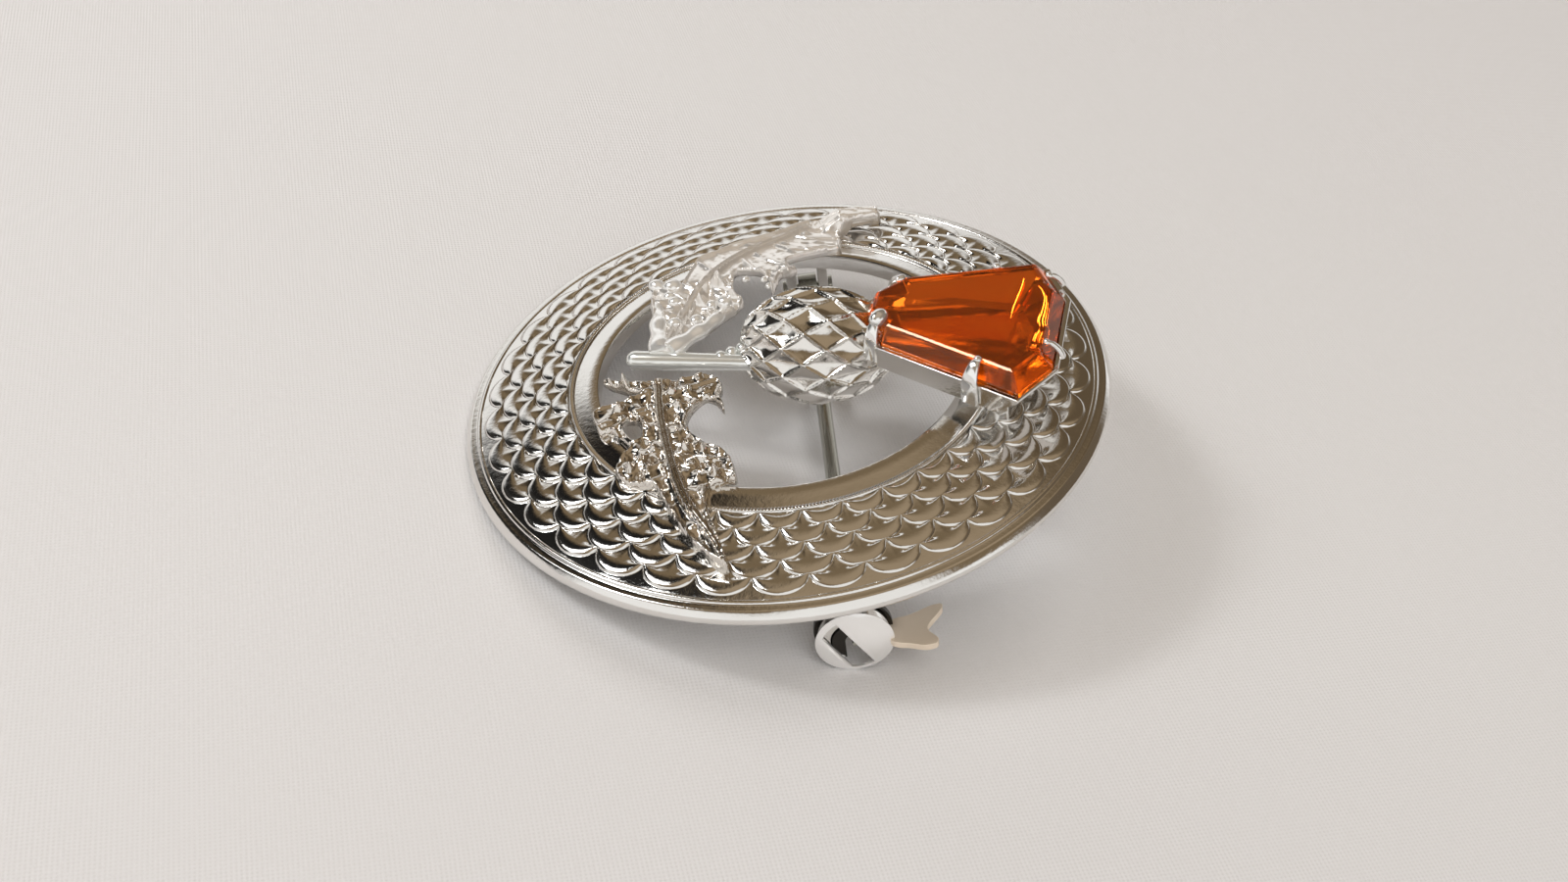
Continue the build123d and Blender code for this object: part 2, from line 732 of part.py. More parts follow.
print("lean in degrees:", round(lean, 4))
print("move after leaning:", [round(v, 4) for v in (-middle.X, -middle.Y, -box.min.Z)])
for name, place in {
    "pivot": pivot,
    "catch centre": catch_centre,
    "ring centre": (0, 0, 0),
    "stone centre": (stone_centre[0], stone_centre[1], table_height),
    "pin root": tuple(pin_plane(pin_root_end).origin),
    "pin point start": tuple(pin_plane(pin_way.length - pin_point_length).origin),
}.items():
    spot = (laid * Pos(*place)).position
    print(name, [round(v, 4) for v in (spot.X, spot.Y, spot.Z)])
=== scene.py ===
# %% [markdown]
# A thistle brooch, dressed for its portrait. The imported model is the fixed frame: it
# says where the ring leans, where the pin turns and where the stone sits. Everything
# made below is worked out in the brooch's own flat frame in millimetres, with the ring's
# axis as Z, and is laid down by one function that reads the lean from the pin's hinge.

# %% Load the frame
import json
from math import asin, atan2, cos, degrees, pi, radians, sin

import bmesh
import bpy
import numpy as np
from mathutils import Matrix, Vector, geometry


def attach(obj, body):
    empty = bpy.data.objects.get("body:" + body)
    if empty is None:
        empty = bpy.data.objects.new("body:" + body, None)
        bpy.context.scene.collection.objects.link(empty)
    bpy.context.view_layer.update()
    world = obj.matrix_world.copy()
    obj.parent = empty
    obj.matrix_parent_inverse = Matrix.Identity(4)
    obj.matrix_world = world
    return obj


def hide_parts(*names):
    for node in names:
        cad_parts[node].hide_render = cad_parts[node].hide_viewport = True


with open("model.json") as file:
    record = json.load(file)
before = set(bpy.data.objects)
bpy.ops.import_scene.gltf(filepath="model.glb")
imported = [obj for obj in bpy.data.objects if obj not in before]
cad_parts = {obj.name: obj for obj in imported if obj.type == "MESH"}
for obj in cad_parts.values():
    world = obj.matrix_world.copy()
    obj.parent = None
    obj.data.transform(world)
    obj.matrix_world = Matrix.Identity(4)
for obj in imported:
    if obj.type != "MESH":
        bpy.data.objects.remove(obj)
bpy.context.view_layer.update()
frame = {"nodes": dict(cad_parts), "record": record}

# %% [markdown]
# The brooch doesn't lie flat. Its catch and hinge hold one side up, so the ring leans
# towards the stem. The pin's hinge axis lies in the ring's plane, so its tilt is the
# lean, and the catch's centre, known in both frames, gives the shift.

# %% From the flat frame to the table
joints = {joint["name"]: joint for joint in frame["record"]["behaviour"]["joints"]}
hinge_axis = joints["pin_hinge"]["axis"]
lean = atan2(hinge_axis[2], hinge_axis[0])
pin_offset = 2.65
catch_from_centre = 21.6
catch_drop = 4.6
catch_flat = (pin_offset, -catch_from_centre, -catch_drop)
lean_matrix = np.array([[cos(lean), 0, -sin(lean)], [0, 1, 0], [sin(lean), 0, cos(lean)]])
catch_laid = np.array(joints["catch_turn"]["pos_m"]) * 1000
shift = catch_laid - lean_matrix @ np.array(catch_flat)


def laid(points):
    """Flat-frame millimetres to metres on the table: turn about Y by the lean, then shift."""
    return (np.asarray(points, float) @ lean_matrix.T + shift) / 1000


print("lean", round(degrees(lean), 2), "degrees, shift", shift.round(3))

# %% [markdown]
# The camera stands where the photographer stood. The two rims of the ring and its hole
# are circles, and their outlines fix the distance, the height above the ring's face and
# the roll. An image 1600 wide seen with a focal length of 1800 pixels is a 40.5 mm lens
# on Blender's 36 mm sensor.

# %% Camera
image_width = 1600
focal_pixels = 1800
sensor_width = 36
camera_rise = radians(40.335)
camera_roll = radians(-8.534)
camera_distance = 123.62
camera_target = np.array([-0.65, -6.646, 0.0])
camera_turn = radians(1.73)


def make_camera():
    """A camera on the ring's near side: its axes come from the rise, then the roll."""
    forward = np.array([0, cos(camera_rise), -sin(camera_rise)])
    level = np.array([1.0, 0, 0])
    upward = np.array([0, sin(camera_rise), cos(camera_rise)])
    across = cos(camera_roll) * level + sin(camera_roll) * upward
    up = -sin(camera_roll) * level + cos(camera_roll) * upward
    turn = np.array([
        [cos(camera_turn), -sin(camera_turn), 0],
        [sin(camera_turn), cos(camera_turn), 0],
        [0, 0, 1],
    ])
    place = laid(turn @ (camera_target - forward * camera_distance))
    axes = lean_matrix @ turn @ np.array([across, up, -forward]).T
    data = bpy.data.cameras.new("camera")
    data.sensor_width = sensor_width
    data.lens = sensor_width * focal_pixels / image_width
    data.clip_start = 0.001
    data.clip_end = 10
    camera = bpy.data.objects.new("camera", data)
    rows = [[*axes[row], place[row]] for row in range(3)]
    camera.matrix_world = Matrix(rows + [[0, 0, 0, 1]])
    bpy.context.collection.objects.link(camera)
    bpy.context.scene.camera = camera
    print("camera at", place.round(4))


make_camera()

# %% [markdown]
# Most pieces here are grids: a rule says where the point at row i and column j lies, and
# the mesh joins neighbours with four-sided faces. A grid can close on itself along its
# rows or columns, as a ring does, or end in a cap, as a rod does.

# %% Meshes from grids of points


def add_piece(name, points, faces, smooth_angle=40):
    """A mesh object from flat-frame points and a list of arrays of face corners."""
    flat = laid(points).reshape(-1, 3)
    corners = np.concatenate([block.ravel() for block in faces]).astype(np.int32)
    totals = np.concatenate([np.full(len(block), block.shape[1]) for block in faces])
    mesh = bpy.data.meshes.new(name)
    mesh.vertices.add(len(flat))
    mesh.vertices.foreach_set("co", flat.ravel())
    mesh.loops.add(len(corners))
    mesh.loops.foreach_set("vertex_index", corners)
    mesh.polygons.add(len(totals))
    starts = np.concatenate([[0], np.cumsum(totals)[:-1]])
    mesh.polygons.foreach_set("loop_start", starts.astype(np.int32))
    mesh.polygons.foreach_set("loop_total", totals.astype(np.int32))
    mesh.update(calc_edges=True)
    mesh.validate()
    piece = bpy.data.objects.new(name, mesh)
    bpy.context.collection.objects.link(piece)
    tidy_normals(piece, smooth_angle)
    return piece


def tidy_normals(piece, smooth_angle):
    """Merge points that meet, turn faces outwards and shade smooth below an angle."""
    work = bmesh.new()
    work.from_mesh(piece.data)
    bmesh.ops.remove_doubles(work, verts=work.verts, dist=1e-7)
    bmesh.ops.recalc_face_normals(work, faces=work.faces)
    work.to_mesh(piece.data)
    work.free()
    piece.data.polygons.foreach_set("use_smooth", np.ones(len(piece.data.polygons), bool))
    piece.data.set_sharp_from_angle(angle=radians(smooth_angle))


def tell(*pieces):
    """Print each piece's name and its number of faces."""
    for piece in pieces:
        print(piece.name, len(piece.data.polygons), "faces")


def grid_faces(rows, columns, close_rows=False, close_columns=False, start=0):
    """Corners of the four-sided faces between neighbouring rows and columns of a grid."""
    row = np.arange(rows if close_rows else rows - 1)
    column = np.arange(columns if close_columns else columns - 1)
    here, there = np.meshgrid(row, column, indexing="ij")
    next_row = (here + 1) % rows
    next_column = (there + 1) % columns
    quads = np.stack([
        here * columns + there,
        here * columns + next_column,
        next_row * columns + next_column,
        next_row * columns + there,
    ], axis=-1)
    return quads.reshape(-1, 4) + start


def fan_faces(row_start, columns, centre):
    """Triangles from one closed row of points to a centre point."""
    here = np.arange(columns)
    following = (here + 1) % columns
    middle = np.full(columns, centre)
    return np.stack([row_start + here, row_start + following, middle], axis=1)


def capped_rows(name, rows, smooth_angle=40):
    """A closed body from closed rows of points, with both end rows fanned to their middles."""
    rows = np.asarray(rows, float)
    count, columns = rows.shape[:2]
    middles = np.array([rows[0].mean(axis=0), rows[-1].mean(axis=0)])
    points = np.vstack([rows.reshape(-1, 3), middles])
    faces = [
        grid_faces(count, columns, close_columns=True),
        fan_faces(0, columns, count * columns),
        fan_faces((count - 1) * columns, columns, count * columns + 1),
    ]
    return add_piece(name, points, faces, smooth_angle)


def curve_through(points, count, closed=False):
    """A smooth curve through points: each span is a cubic with slopes from its neighbours."""
    points = np.asarray(points, float)
    if closed:
        padded = np.vstack([points[-1], points, points[0], points[1]])
    else:
        padded = np.vstack([2 * points[0] - points[1], points, 2 * points[-1] - points[-2]])
    spans = len(padded) - 3
    where = np.linspace(0, spans, count, endpoint=not closed)
    span = np.minimum(where.astype(int), spans - 1)
    t = (where - span)[:, None]
    a, b, c, d = padded[span], padded[span + 1], padded[span + 2], padded[span + 3]
    bend = 2 * a - 5 * b + 4 * c - d
    twist = 3 * b - a - 3 * c + d
    return 0.5 * (2 * b + (c - a) * t + bend * t**2 + twist * t**3)


def sweep(name, path, widths, heights, up=(0, 0, 1), sides=16, square=2.0, smooth_angle=40):
    """A rod along a path: at each point a rounded section, width across and height along up.

    The section is a superellipse: the cosine and sine of the turn, each raised to the
    power two over square, so square = 2 is an ellipse and larger values are squarer.
    """
    path = np.asarray(path, float)
    along = np.gradient(path, axis=0)
    along /= np.linalg.norm(along, axis=1)[:, None]
    across = np.cross(along, np.broadcast_to(np.asarray(up, float), path.shape))
    across /= np.linalg.norm(across, axis=1)[:, None]
    over = np.cross(across, along)
    turn = np.linspace(0, 2 * pi, sides, endpoint=False)
    c = np.sign(np.cos(turn)) * np.abs(np.cos(turn)) ** (2 / square)
    s = np.sign(np.sin(turn)) * np.abs(np.sin(turn)) ** (2 / square)
    widths = np.broadcast_to(widths, len(path))[:, None, None]
    heights = np.broadcast_to(heights, len(path))[:, None, None]
    rows = path[:, None] + widths * c[None, :, None] * across[:, None]
    rows = rows + heights * s[None, :, None] * over[:, None]
    return capped_rows(name, rows, smooth_angle)


def joined(name, pieces):
    """Several pieces as one object, with their meshes put together in order."""
    work = bmesh.new()
    for piece in pieces:
        work.from_mesh(piece.data)
        bpy.data.meshes.remove(piece.data)
    mesh = bpy.data.meshes.new(name)
    work.to_mesh(mesh)
    work.free()
    mesh.set_sharp_from_angle(angle=radians(40))
    whole = bpy.data.objects.new(name, mesh)
    bpy.context.collection.objects.link(whole)
    return whole


# %% [markdown]
# The ring is a cast disc with a hole. Its face is a field of fish scales between a beaded
# rim and a small lip, and all of it fits one rule: a profile from the hole's foot, over
# the face, round the rim and back, turned about the axis. Inside the field the profile
# changes with the angle. Each scale has a rounded edge curve, and the grid's rows follow
# those curves, so every rim stays crisp with few faces. Relief from a fine even grid
# would need ten times the faces for the same edge.

# %% The ring's sizes
ring_radius = 23.5
hole_radius = 13.35
field_outer = 22.25
field_inner = 15.6
dome_rise = 1.85
rim_wall = 1.0
ring_thickness = 1.3
scales_per_row = 35
columns_per_scale = 24
row_tips = (22.0, 20.72, 19.45, 18.2, 16.95)
first_scale_angle = 8.54
scale_depth = 1.42
arch_fullness = 0.985
floor_rise = 0.02
rim_face = 0.08
lip_outer = field_inner + 0.02
lip_inner = field_inner - 0.42
lip_height = 0.27
rim_bead_width = 0.30
rim_bead_height = 0.10
band_start = hole_radius + 0.9
band_end = field_inner - 0.55
back_stops = (ring_radius - 0.8, hole_radius + 5, hole_radius + 0.25)
hole_profile = [(0.0, 0.2), (0.04, 0.06), (0.16, 0.01)]
rim_profile = [
    (0.52, -0.08), (0.44, -0.07), (0.37, -0.02), (0.29, 0.08), (0.17, 0.22), (0.07, 0.36),
    (0.01, 0.50), (0.0, 0.68), (0.04, 0.84), (0.15, 0.96), (0.30, 1.0),
]
scale_profile = [
    (0.00, 0.02), (0.02, 0.07), (0.06, 0.115), (0.12, 0.15), (0.20, 0.178), (0.32, 0.20),
    (0.50, 0.21), (0.75, 0.197), (1.0, 0.165), (1.3, 0.115),
]


def dome(radius):
    """Height of the ring's plain face: a straight slope, highest at the hole."""
    return dome_rise * (ring_radius - radius) / (ring_radius - hole_radius)


def back(radius):
    """Height of the ring's back, from the rim's foot to the hole's."""
    share = (ring_radius - radius) / (ring_radius - hole_radius)
    return -rim_wall + (dome_rise - ring_thickness + rim_wall) * share


# %% [markdown]
# A scale's edge, seen from above, is a rounded arch: half an ellipse in the angle, made a
# little blunt so that two neighbours meet in a cusp. Rows are staggered by half a scale.
# Where a row's cusps reach under the next row's tips, the inner row lies on top.

# %% The ring's surface
angles = np.linspace(0, 2 * pi, scales_per_row * columns_per_scale, endpoint=False)


def edge_curve(row):
    """Radius of a row's scalloped edge and its slope, at every angle of the grid."""
    pitch = 2 * pi / scales_per_row
    start = radians(first_scale_angle) + pitch / 2 * (row % 2)
    u = ((angles - start) / pitch + 0.5) % 1 * 2 - 1
    arch = 1 - np.sqrt(1 - arch_fullness * u**2)
    radius = row_tips[row] - scale_depth * arch
    arc = row_tips[row] * pitch / 2
    slope = scale_depth * arch_fullness * u / np.sqrt(1 - arch_fullness * u**2) / arc
    return radius, slope


def ring_rows():
    """Rows of (radius, height) at every angle, from the hole's foot over the face and back."""
    flat = np.ones_like(angles)
    rows = []

    def plain(points):
        for radius, height in points:
            rows.append((radius * flat, height * flat))

    def bead(outer, inner, height, count=9):
        """A half-round bead on the face, drawn from its inner foot to its outer one."""
        turn = np.linspace(pi, 0, count)
        middle = (outer + inner) / 2
        half = (outer - inner) / 2
        grains = 0.82 + 0.18 * np.cos(pi * np.arange(len(angles)))
        for t in turn:
            radius = middle + half * cos(t)
            rows.append((radius * flat, dome(radius) + height * sin(t) * grains))

    hole_top = dome(hole_radius)
    plain([(hole_radius, back(hole_radius))])
    plain([(hole_radius + out, hole_top - down) for out, down in hole_profile])
    plain([(band_start, dome(band_start) - 0.03), (band_end, dome(band_end))])
    bead(lip_outer, lip_inner, lip_height)
    plain([(field_inner + 0.07, dome(field_inner) - 0.1)])

    curves = [edge_curve(row) for row in range(len(row_tips))]
    inner = (field_inner + 0.1) * flat
    blocks = []
    for row in reversed(range(len(row_tips))):
        outer = np.maximum(curves[row][0], inner + 0.05)
        reach = outer - inner
        stretch = np.sqrt(1 + curves[row][1] ** 2)
        block = []
        for away, rise in reversed(scale_profile):
            wide = away * stretch
            radius = outer - ((wide + 1e-6) ** -3 + reach**-3.0) ** (-1 / 3)
            block.append((radius, dome(radius) + floor_rise + rise))
        for step in (0.12, 0.03, 0.0):
            radius = inner + np.minimum(step, 0.6 * (block[0][0] - inner))
            block.insert(0, (radius, dome(radius) + floor_rise))
        blocks.append(block)
        inner = outer + 0.02
    for block in blocks:
        rows.extend(block)
    rim_foot = field_outer - 0.04
    for share in (0.0, 0.06, 0.5):
        radius = inner + 0.01 + (rim_foot - inner) * share
        rows.append((radius, dome(radius) + floor_rise))
    bead(field_outer + rim_bead_width, field_outer, rim_bead_height, 7)
    plain([(field_outer + 0.36, rim_face + 0.02), (field_outer + 0.44, rim_face)])
    plain([(ring_radius - out, -down) for out, down in rim_profile])
    plain([(radius, back(radius)) for radius in back_stops])
    plain([(hole_radius + 0.06, back(hole_radius) + 0.02)])
    return rows


def make_ring():
    """The whole ring: the profile's rows joined round the axis and back to their start."""
    rows = ring_rows()
    radius = np.array([row[0] for row in rows])
    height = np.array([row[1] for row in rows])
    points = np.stack([radius * np.cos(angles), radius * np.sin(angles), height], axis=-1)
    faces = [grid_faces(len(rows), len(angles), close_rows=True, close_columns=True)]
    return add_piece("ring", points.reshape(-1, 3), faces, 50)


ring = make_ring()
tell(ring)

# %% [markdown]
# The stem is a plain rod with a rounded free end. Three rounded beads make the collar
# under the bulb.

# %% Stem and collar
stem_end = np.array([-11.35, 2.75, 1.7])
stem_neck = np.array([-4.71, 1.07, 1.75])
collar_end = np.array([-2.3, 1.95, 1.85])
stem_radius = 0.74
stem_thinning = 0.82
collar_radius = 0.72
collar_neck = 0.42


def make_stem():
    """A rod whose radius follows a half circle at its free end, then thins a little."""
    along = np.concatenate([1 - np.cos(np.linspace(0, pi / 2, 7)), np.linspace(1.3, 14, 24)])
    run = stem_neck - stem_end
    path = stem_end + run / np.linalg.norm(run) * (along[:, None] * stem_radius)
    radius = stem_radius * np.sqrt(np.clip(1 - np.clip(1 - along, 0, 0.995) ** 2, 0, 1))
    radius *= np.interp(along, [3, 11], [1.0, stem_thinning])
    return sweep("stem_rod", path, radius, radius, sides=24)


def make_collar():
    """A rod whose radius swells three times, like beads threaded close together."""
    t = np.linspace(0, 1, 64)
    path = stem_neck + (collar_end - stem_neck) * t[:, None]
    swelling = np.abs(np.sin(3 * pi * t)) ** 0.6
    radius = collar_neck + (collar_radius - collar_neck) * swelling
    return sweep("collar", path, radius, radius, sides=24, smooth_angle=70)


stem = joined("stem_and_collar", [make_stem(), make_collar()])
tell(stem)

# %% [markdown]
# The bulb is an egg shape under a net of raised ridges that cross in diamonds, each with
# a dished middle. The grid runs along the egg and round it. Two slanted counts, one
# twisting left and one right, are whole numbers on the ridges, so the distance to the
# nearest whole number is the distance to a ridge. The back is cut level with the ring's.

# %% Bulb
bulb_centre = np.array([2.71, 1.33, 1.9])
bulb_half = np.array([5.75, 4.6, 4.05])
bulb_angle = radians(-15)
bulb_columns = 12
bulb_twist = 5.5
left_start = 0.27
right_start = 0.30
ridge_width = 0.05
ridge_height = 0.17
ridge_limit = 1.15
cell_dish = 0.24
bulb_inset = 0.1
bulb_flat = -1.0


def hump(away, width):
    """A smooth bump: e to the power of minus the square of distance over width."""
    return np.exp(-((away / width) ** 2))


def make_bulb():
    """Ellipsoid point times one plus relief: narrow bumps where a slanted count is whole."""
    along = np.sin(np.linspace(-pi / 2 + 0.04, pi / 2 - 0.04, 240))
    around = np.linspace(0, 2 * pi, 400, endpoint=False)
    a, b = np.meshgrid(along, around, indexing="ij")
    climb = np.arcsin(a) / pi * bulb_twist
    left = bulb_columns * b / (2 * pi) + climb - left_start
    right = bulb_columns * b / (2 * pi) - climb - right_start
    away_left = np.abs(left - np.round(left))
    away_right = np.abs(right - np.round(right))
    ridge = hump(away_left, ridge_width) + hump(away_right, ridge_width)
    ridge = np.minimum(ridge, ridge_limit)
    dish = -cell_dish * np.sin(pi * away_left) * np.sin(pi * away_right)
    across = np.sqrt(1 - a**2)
    relief = (ridge_height * ridge + dish) * np.clip(across * 2.2, 0, 1)
    unit = np.stack([a, across * np.cos(b), across * np.sin(b)], axis=-1)
    half_x, half_y, half_z = bulb_half
    local = np.stack([half_x * a, half_y * across * np.cos(b), half_z * across * np.sin(b)], -1)
    normal = unit / bulb_half
    normal /= np.linalg.norm(normal, axis=-1)[..., None]
    local = local + normal * (relief - bulb_inset)[..., None]
    c, s = cos(bulb_angle), sin(bulb_angle)
    turn = np.array([[c, -s, 0], [s, c, 0], [0, 0, 1]])
    points = local @ turn.T + bulb_centre
    points[..., 2] = np.maximum(points[..., 2], bulb_flat)
    return capped_rows("bulb", points, 60)


bulb = make_bulb()
tell(bulb)

# %% [markdown]
# The stone is a long kite with blunt ends: a table, one steep crown facet to a side, a
# thin girdle and an underside like a hipped roof, with a mirror foil on it that throws
# the light back up through the colour. Each level is the same outline with every side
# moved in by its own inset, so stone and setting are loops of corners joined in order.

# %% Stone sizes and outline
stone_centre = (13.23, -2.03)
stone_angle = radians(-24.3)
stone_outline = np.array([
    (6.1, 4.0), (3.9, 7.1), (-5.6, 3.3), (-7.3, 1.0),
    (-7.0, -1.3), (-5.1, -3.4), (5.6, -6.8), (7.1, -3.6),
])
girdle_height = 4.35
girdle_band = 0.35
table_height = 5.9
girdle_round = 0.03
setting_bottom = 2.85
setting_wall = 0.45
stone_clearance = 0.06


def stone_place(local, height):
    """Flat-frame points from places along and across the stone, all at one height."""
    local = np.asarray(local, float)
    c, s = cos(stone_angle), sin(stone_angle)
    x = stone_centre[0] + local[..., 0] * c - local[..., 1] * s
    y = stone_centre[1] + local[..., 0] * s + local[..., 1] * c
    return np.stack([x, y, np.broadcast_to(height, x.shape)], axis=-1)


def side_normals():
    """Unit vectors into the stone from each side of its outline."""
    way = np.roll(stone_outline, -1, axis=0) - stone_outline
    way /= np.linalg.norm(way, axis=1)[:, None]
    return np.stack([-way[:, 1], way[:, 0]], axis=1)


def stone_loop(insets, height):
    """The outline with each side moved in by its inset, as flat-frame points.

    A corner moves by the vector whose part along each of its two sides' inward normals is
    that side's inset, which is two equations for two unknowns.
    """
    after = side_normals()
    before = np.roll(after, 1, axis=0)
    insets = np.broadcast_to(insets, len(after)).astype(float)
    amounts = np.stack([np.roll(insets, 1), insets], axis=1)
    move = np.linalg.solve(np.stack([before, after], axis=1), amounts[..., None])[..., 0]
    return stone_place(stone_outline + move, height)


def soften(piece, width, angle=20, segments=2):
    """Rounds a piece's sharp edges with a live Bevel, so that they catch the light."""
    bevel = piece.modifiers.new("soft_edges", "BEVEL")
    bevel.width = width / 1000
    bevel.segments = segments
    bevel.limit_method = "ANGLE"
    bevel.angle_limit = radians(angle)
    bevel.harden_normals = True
    return piece


# %% [markdown]
# The crown is steep along the two long sides and flatter round the wide end, and its edge
# rolls over into the table, which draws a white line there from the window. Below the
# girdle each corner runs down to its own place on a narrow keel, so the two long facets
# of the underside meet in one line that shows through the table. Three slivers of the foil
# stand up inside near the wide end, turned to the window, and flash yellow in the photo.

# %% The stone
crown_insets = np.array([1.1, 0.62, 0.7, 0.7, 0.7, 0.75, 1.0, 1.1])
crown_profile = [
    (0.60, 5.56), (0.72, 5.70), (0.84, 5.79),
    (1.04, 5.877), (1.20, 5.897), (1.40, table_height),
]
stone_keel = [
    (3.6, 2.6), (3.1, 2.75), (-4.9, 2.4), (-5.1, 2.2),
    (-5.1, 1.9), (-4.9, 1.75), (3.2, 1.9), (3.6, 2.1),
]
keel_height = 3.42
streak_facing = (-0.216, -0.224, 0.950)
streak_widths = (0.12, 0.10, 0.24)
streak_paths = [
    [(17.96, 1.25, 4.90), (17.59, 0.33, 4.59), (17.15, -0.57, 4.28),
     (16.72, -1.46, 3.97), (16.35, -2.45, 3.65)],
    [(18.75, -0.23, 5.45), (18.93, -0.80, 5.35), (18.84, -1.70, 5.12), (18.43, -2.79, 4.76),
     (18.08, -3.58, 4.50), (18.03, -4.26, 4.32), (17.54, -5.09, 4.02), (17.28, -5.79, 3.79)],
    [(16.97, -6.08, 4.20), (17.60, -6.15, 4.33), (18.50, -6.05, 4.56)],
]


def make_stone():
    """Loops of eight corners from the keel up to the table, with both ends fanned shut."""
    rows = [
        stone_place(stone_keel, keel_height),
        stone_loop(0.04, girdle_height - girdle_round),
        stone_loop(0.0, girdle_height + girdle_round),
        stone_loop(0.0, girdle_height + girdle_band),
    ]
    rows += [stone_loop(crown_insets * share, height) for share, height in crown_profile]
    return soften(capped_rows("stone_cut", rows, 5), 0.06, 24, 2)


def make_streak(path, half_width):
    """A flat sliver along a path that lies across the window's mirror direction."""
    eased = curve_through(path, 30)
    width = half_width * np.sin(np.linspace(0.25, pi - 0.12, 30)) ** 0.5
    return sweep("streak", eased, width, width * 0.25, up=streak_facing, sides=12, square=6)


stone = make_stone()
streaks = [make_streak(path, width) for path, width in zip(streak_paths, streak_widths)]
streaks = joined("foil_streaks", streaks)
tell(stone, streaks)

# %% [markdown]
# The setting is a tray with a flat floor. Its wall goes up the outside, over a narrow
# edge that reflects as a bright line under the stone, and down the inside. Round the wide
# end the outside leans in under the stone, so there it stays in shadow.

# %% The setting's tray and its solder foot
wall_share = np.array([1.0, 1.0, 1.0, 1.0, 1.0, 1.0, 0.5, 0.8])
tray_out = -stone_clearance - setting_wall * wall_share
tray_lean = np.array([1.2, 0.0, 0.0, 0.0, 0.0, 0.0, 1.8, 1.5])
tray_band = 0.25
tray_in = -stone_clearance
tray_top = girdle_height + girdle_band / 2
tray_levels = [
    (tray_out + tray_lean, setting_bottom), (tray_out, tray_top - tray_band),
    (tray_out, tray_top - 0.04), (tray_out + 0.05, tray_top),
    (tray_in - 0.05, tray_top), (tray_in, tray_top - 0.04),
    (tray_in, tray_top - tray_band), (tray_in + tray_lean, setting_bottom + 0.3),
]
foot_inset = 0.7
foot_radii = (hole_radius + 0.25, 17.6)
foot_steps = 14


def make_tray():
    """The tray's levels as loops of the stone's outline."""
    loops = [stone_loop(inset, height) for inset, height in tray_levels]
    return capped_rows("setting_tray", loops, 20)


def make_foot():
    """A block between ring and tray: at each radius it spans the angles inside the outline."""
    edge = stone_loop(foot_inset, 0.0)[:, :2]
    radii = np.linspace(foot_radii[0], foot_radii[1], foot_steps)
    look = np.linspace(-pi / 2, pi / 2, 721)
    rows = []
    for radius in radii:
        spots = np.stack([radius * np.cos(look), radius * np.sin(look)], axis=1)
        inside = look[within(spots, edge)]
        span = np.linspace(inside[0], inside[-1], foot_steps)
        level = np.full(foot_steps, setting_bottom + 0.1)
        top = np.stack([radius * np.cos(span), radius * np.sin(span), level], axis=1)
        low = top[::-1].copy()
        low[:, 2] = dome(radius) - 0.3
        rows.append(np.vstack([top, low]))
    return capped_rows("setting_foot", rows, 30)


def within(spots, outline):
    """Which plan points lie inside an outline: a point is inside if a ray crosses it oddly."""
    inside = np.zeros(len(spots), bool)
    for here in range(len(outline)):
        x1, y1 = outline[here - 1]
        x2, y2 = outline[here]
        crosses = (y1 > spots[:, 1]) != (y2 > spots[:, 1])
        where = x1 + (spots[:, 1] - y1) * (x2 - x1) / (y2 - y1 + 1e-12)
        inside ^= crosses & (spots[:, 0] < where)
    return inside


# %% [markdown]
# Six claws hold the stone. Each is a strip that climbs the tray's wall, tapers as it
# leans in over the crown and ends in a small polished ball. The claw at the bulb is the
# stoutest. Each stands on one side of the outline, at a share of the way along it, and
# faces at right angles to that side, except the stout one, which crosses a corner.

# %% The claws
claw_path = [
    (0.66, 2.95), (0.68, 3.7), (0.66, 4.45), (0.50, 5.0),
    (0.22, 5.45), (-0.15, 5.76), (-0.5, 5.9),
]
claw_taper = [1.0, 1.0, 0.95, 0.85, 0.7, 0.55, 0.35]
claw_thickness = [0.12, 0.17, 0.19, 0.2, 0.21, 0.2, 0.12]
claw_sizes = {
    "claw_bulb_near": (4, 0.66, 5, 0.60, (0.82, 0.60, 0.60), 0),
    "claw_middle_near": (5, 0.69, 5, 0.66, (0.28, 0.30, 0.25), 0),
    "claw_end_near": (7, 0.16, 7, 0.30, (0.22, 0.24, 0.22), 16),
    "claw_end_far": (0, 0.43, 0, 0.34, (0.26, 0.26, 0.24), 18),
    "claw_middle_far": (1, 0.34, 1, 0.42, (0.26, 0.30, 0.25), 0),
    "claw_bulb_far": (2, 0.18, 2, 0.42, (0.30, 0.45, 0.25), 0),
}


def make_ball(centre, radii, heading=0.0):
    """A ball stretched by three radii, along the heading, across it and upwards."""
    tilt = np.linspace(-pi / 2 + 0.06, pi / 2 - 0.06, 16)
    turn = np.linspace(0, 2 * pi, 24, endpoint=False)
    t, a = np.meshgrid(tilt, turn, indexing="ij")
    x = radii[0] * np.cos(t) * np.cos(a)
    y = radii[1] * np.cos(t) * np.sin(a)
    c, s = cos(heading), sin(heading)
    rows = np.stack([x * c - y * s, x * s + y * c, radii[2] * np.sin(t)], axis=-1)
    return capped_rows("ball", rows + np.asarray(centre), 80)


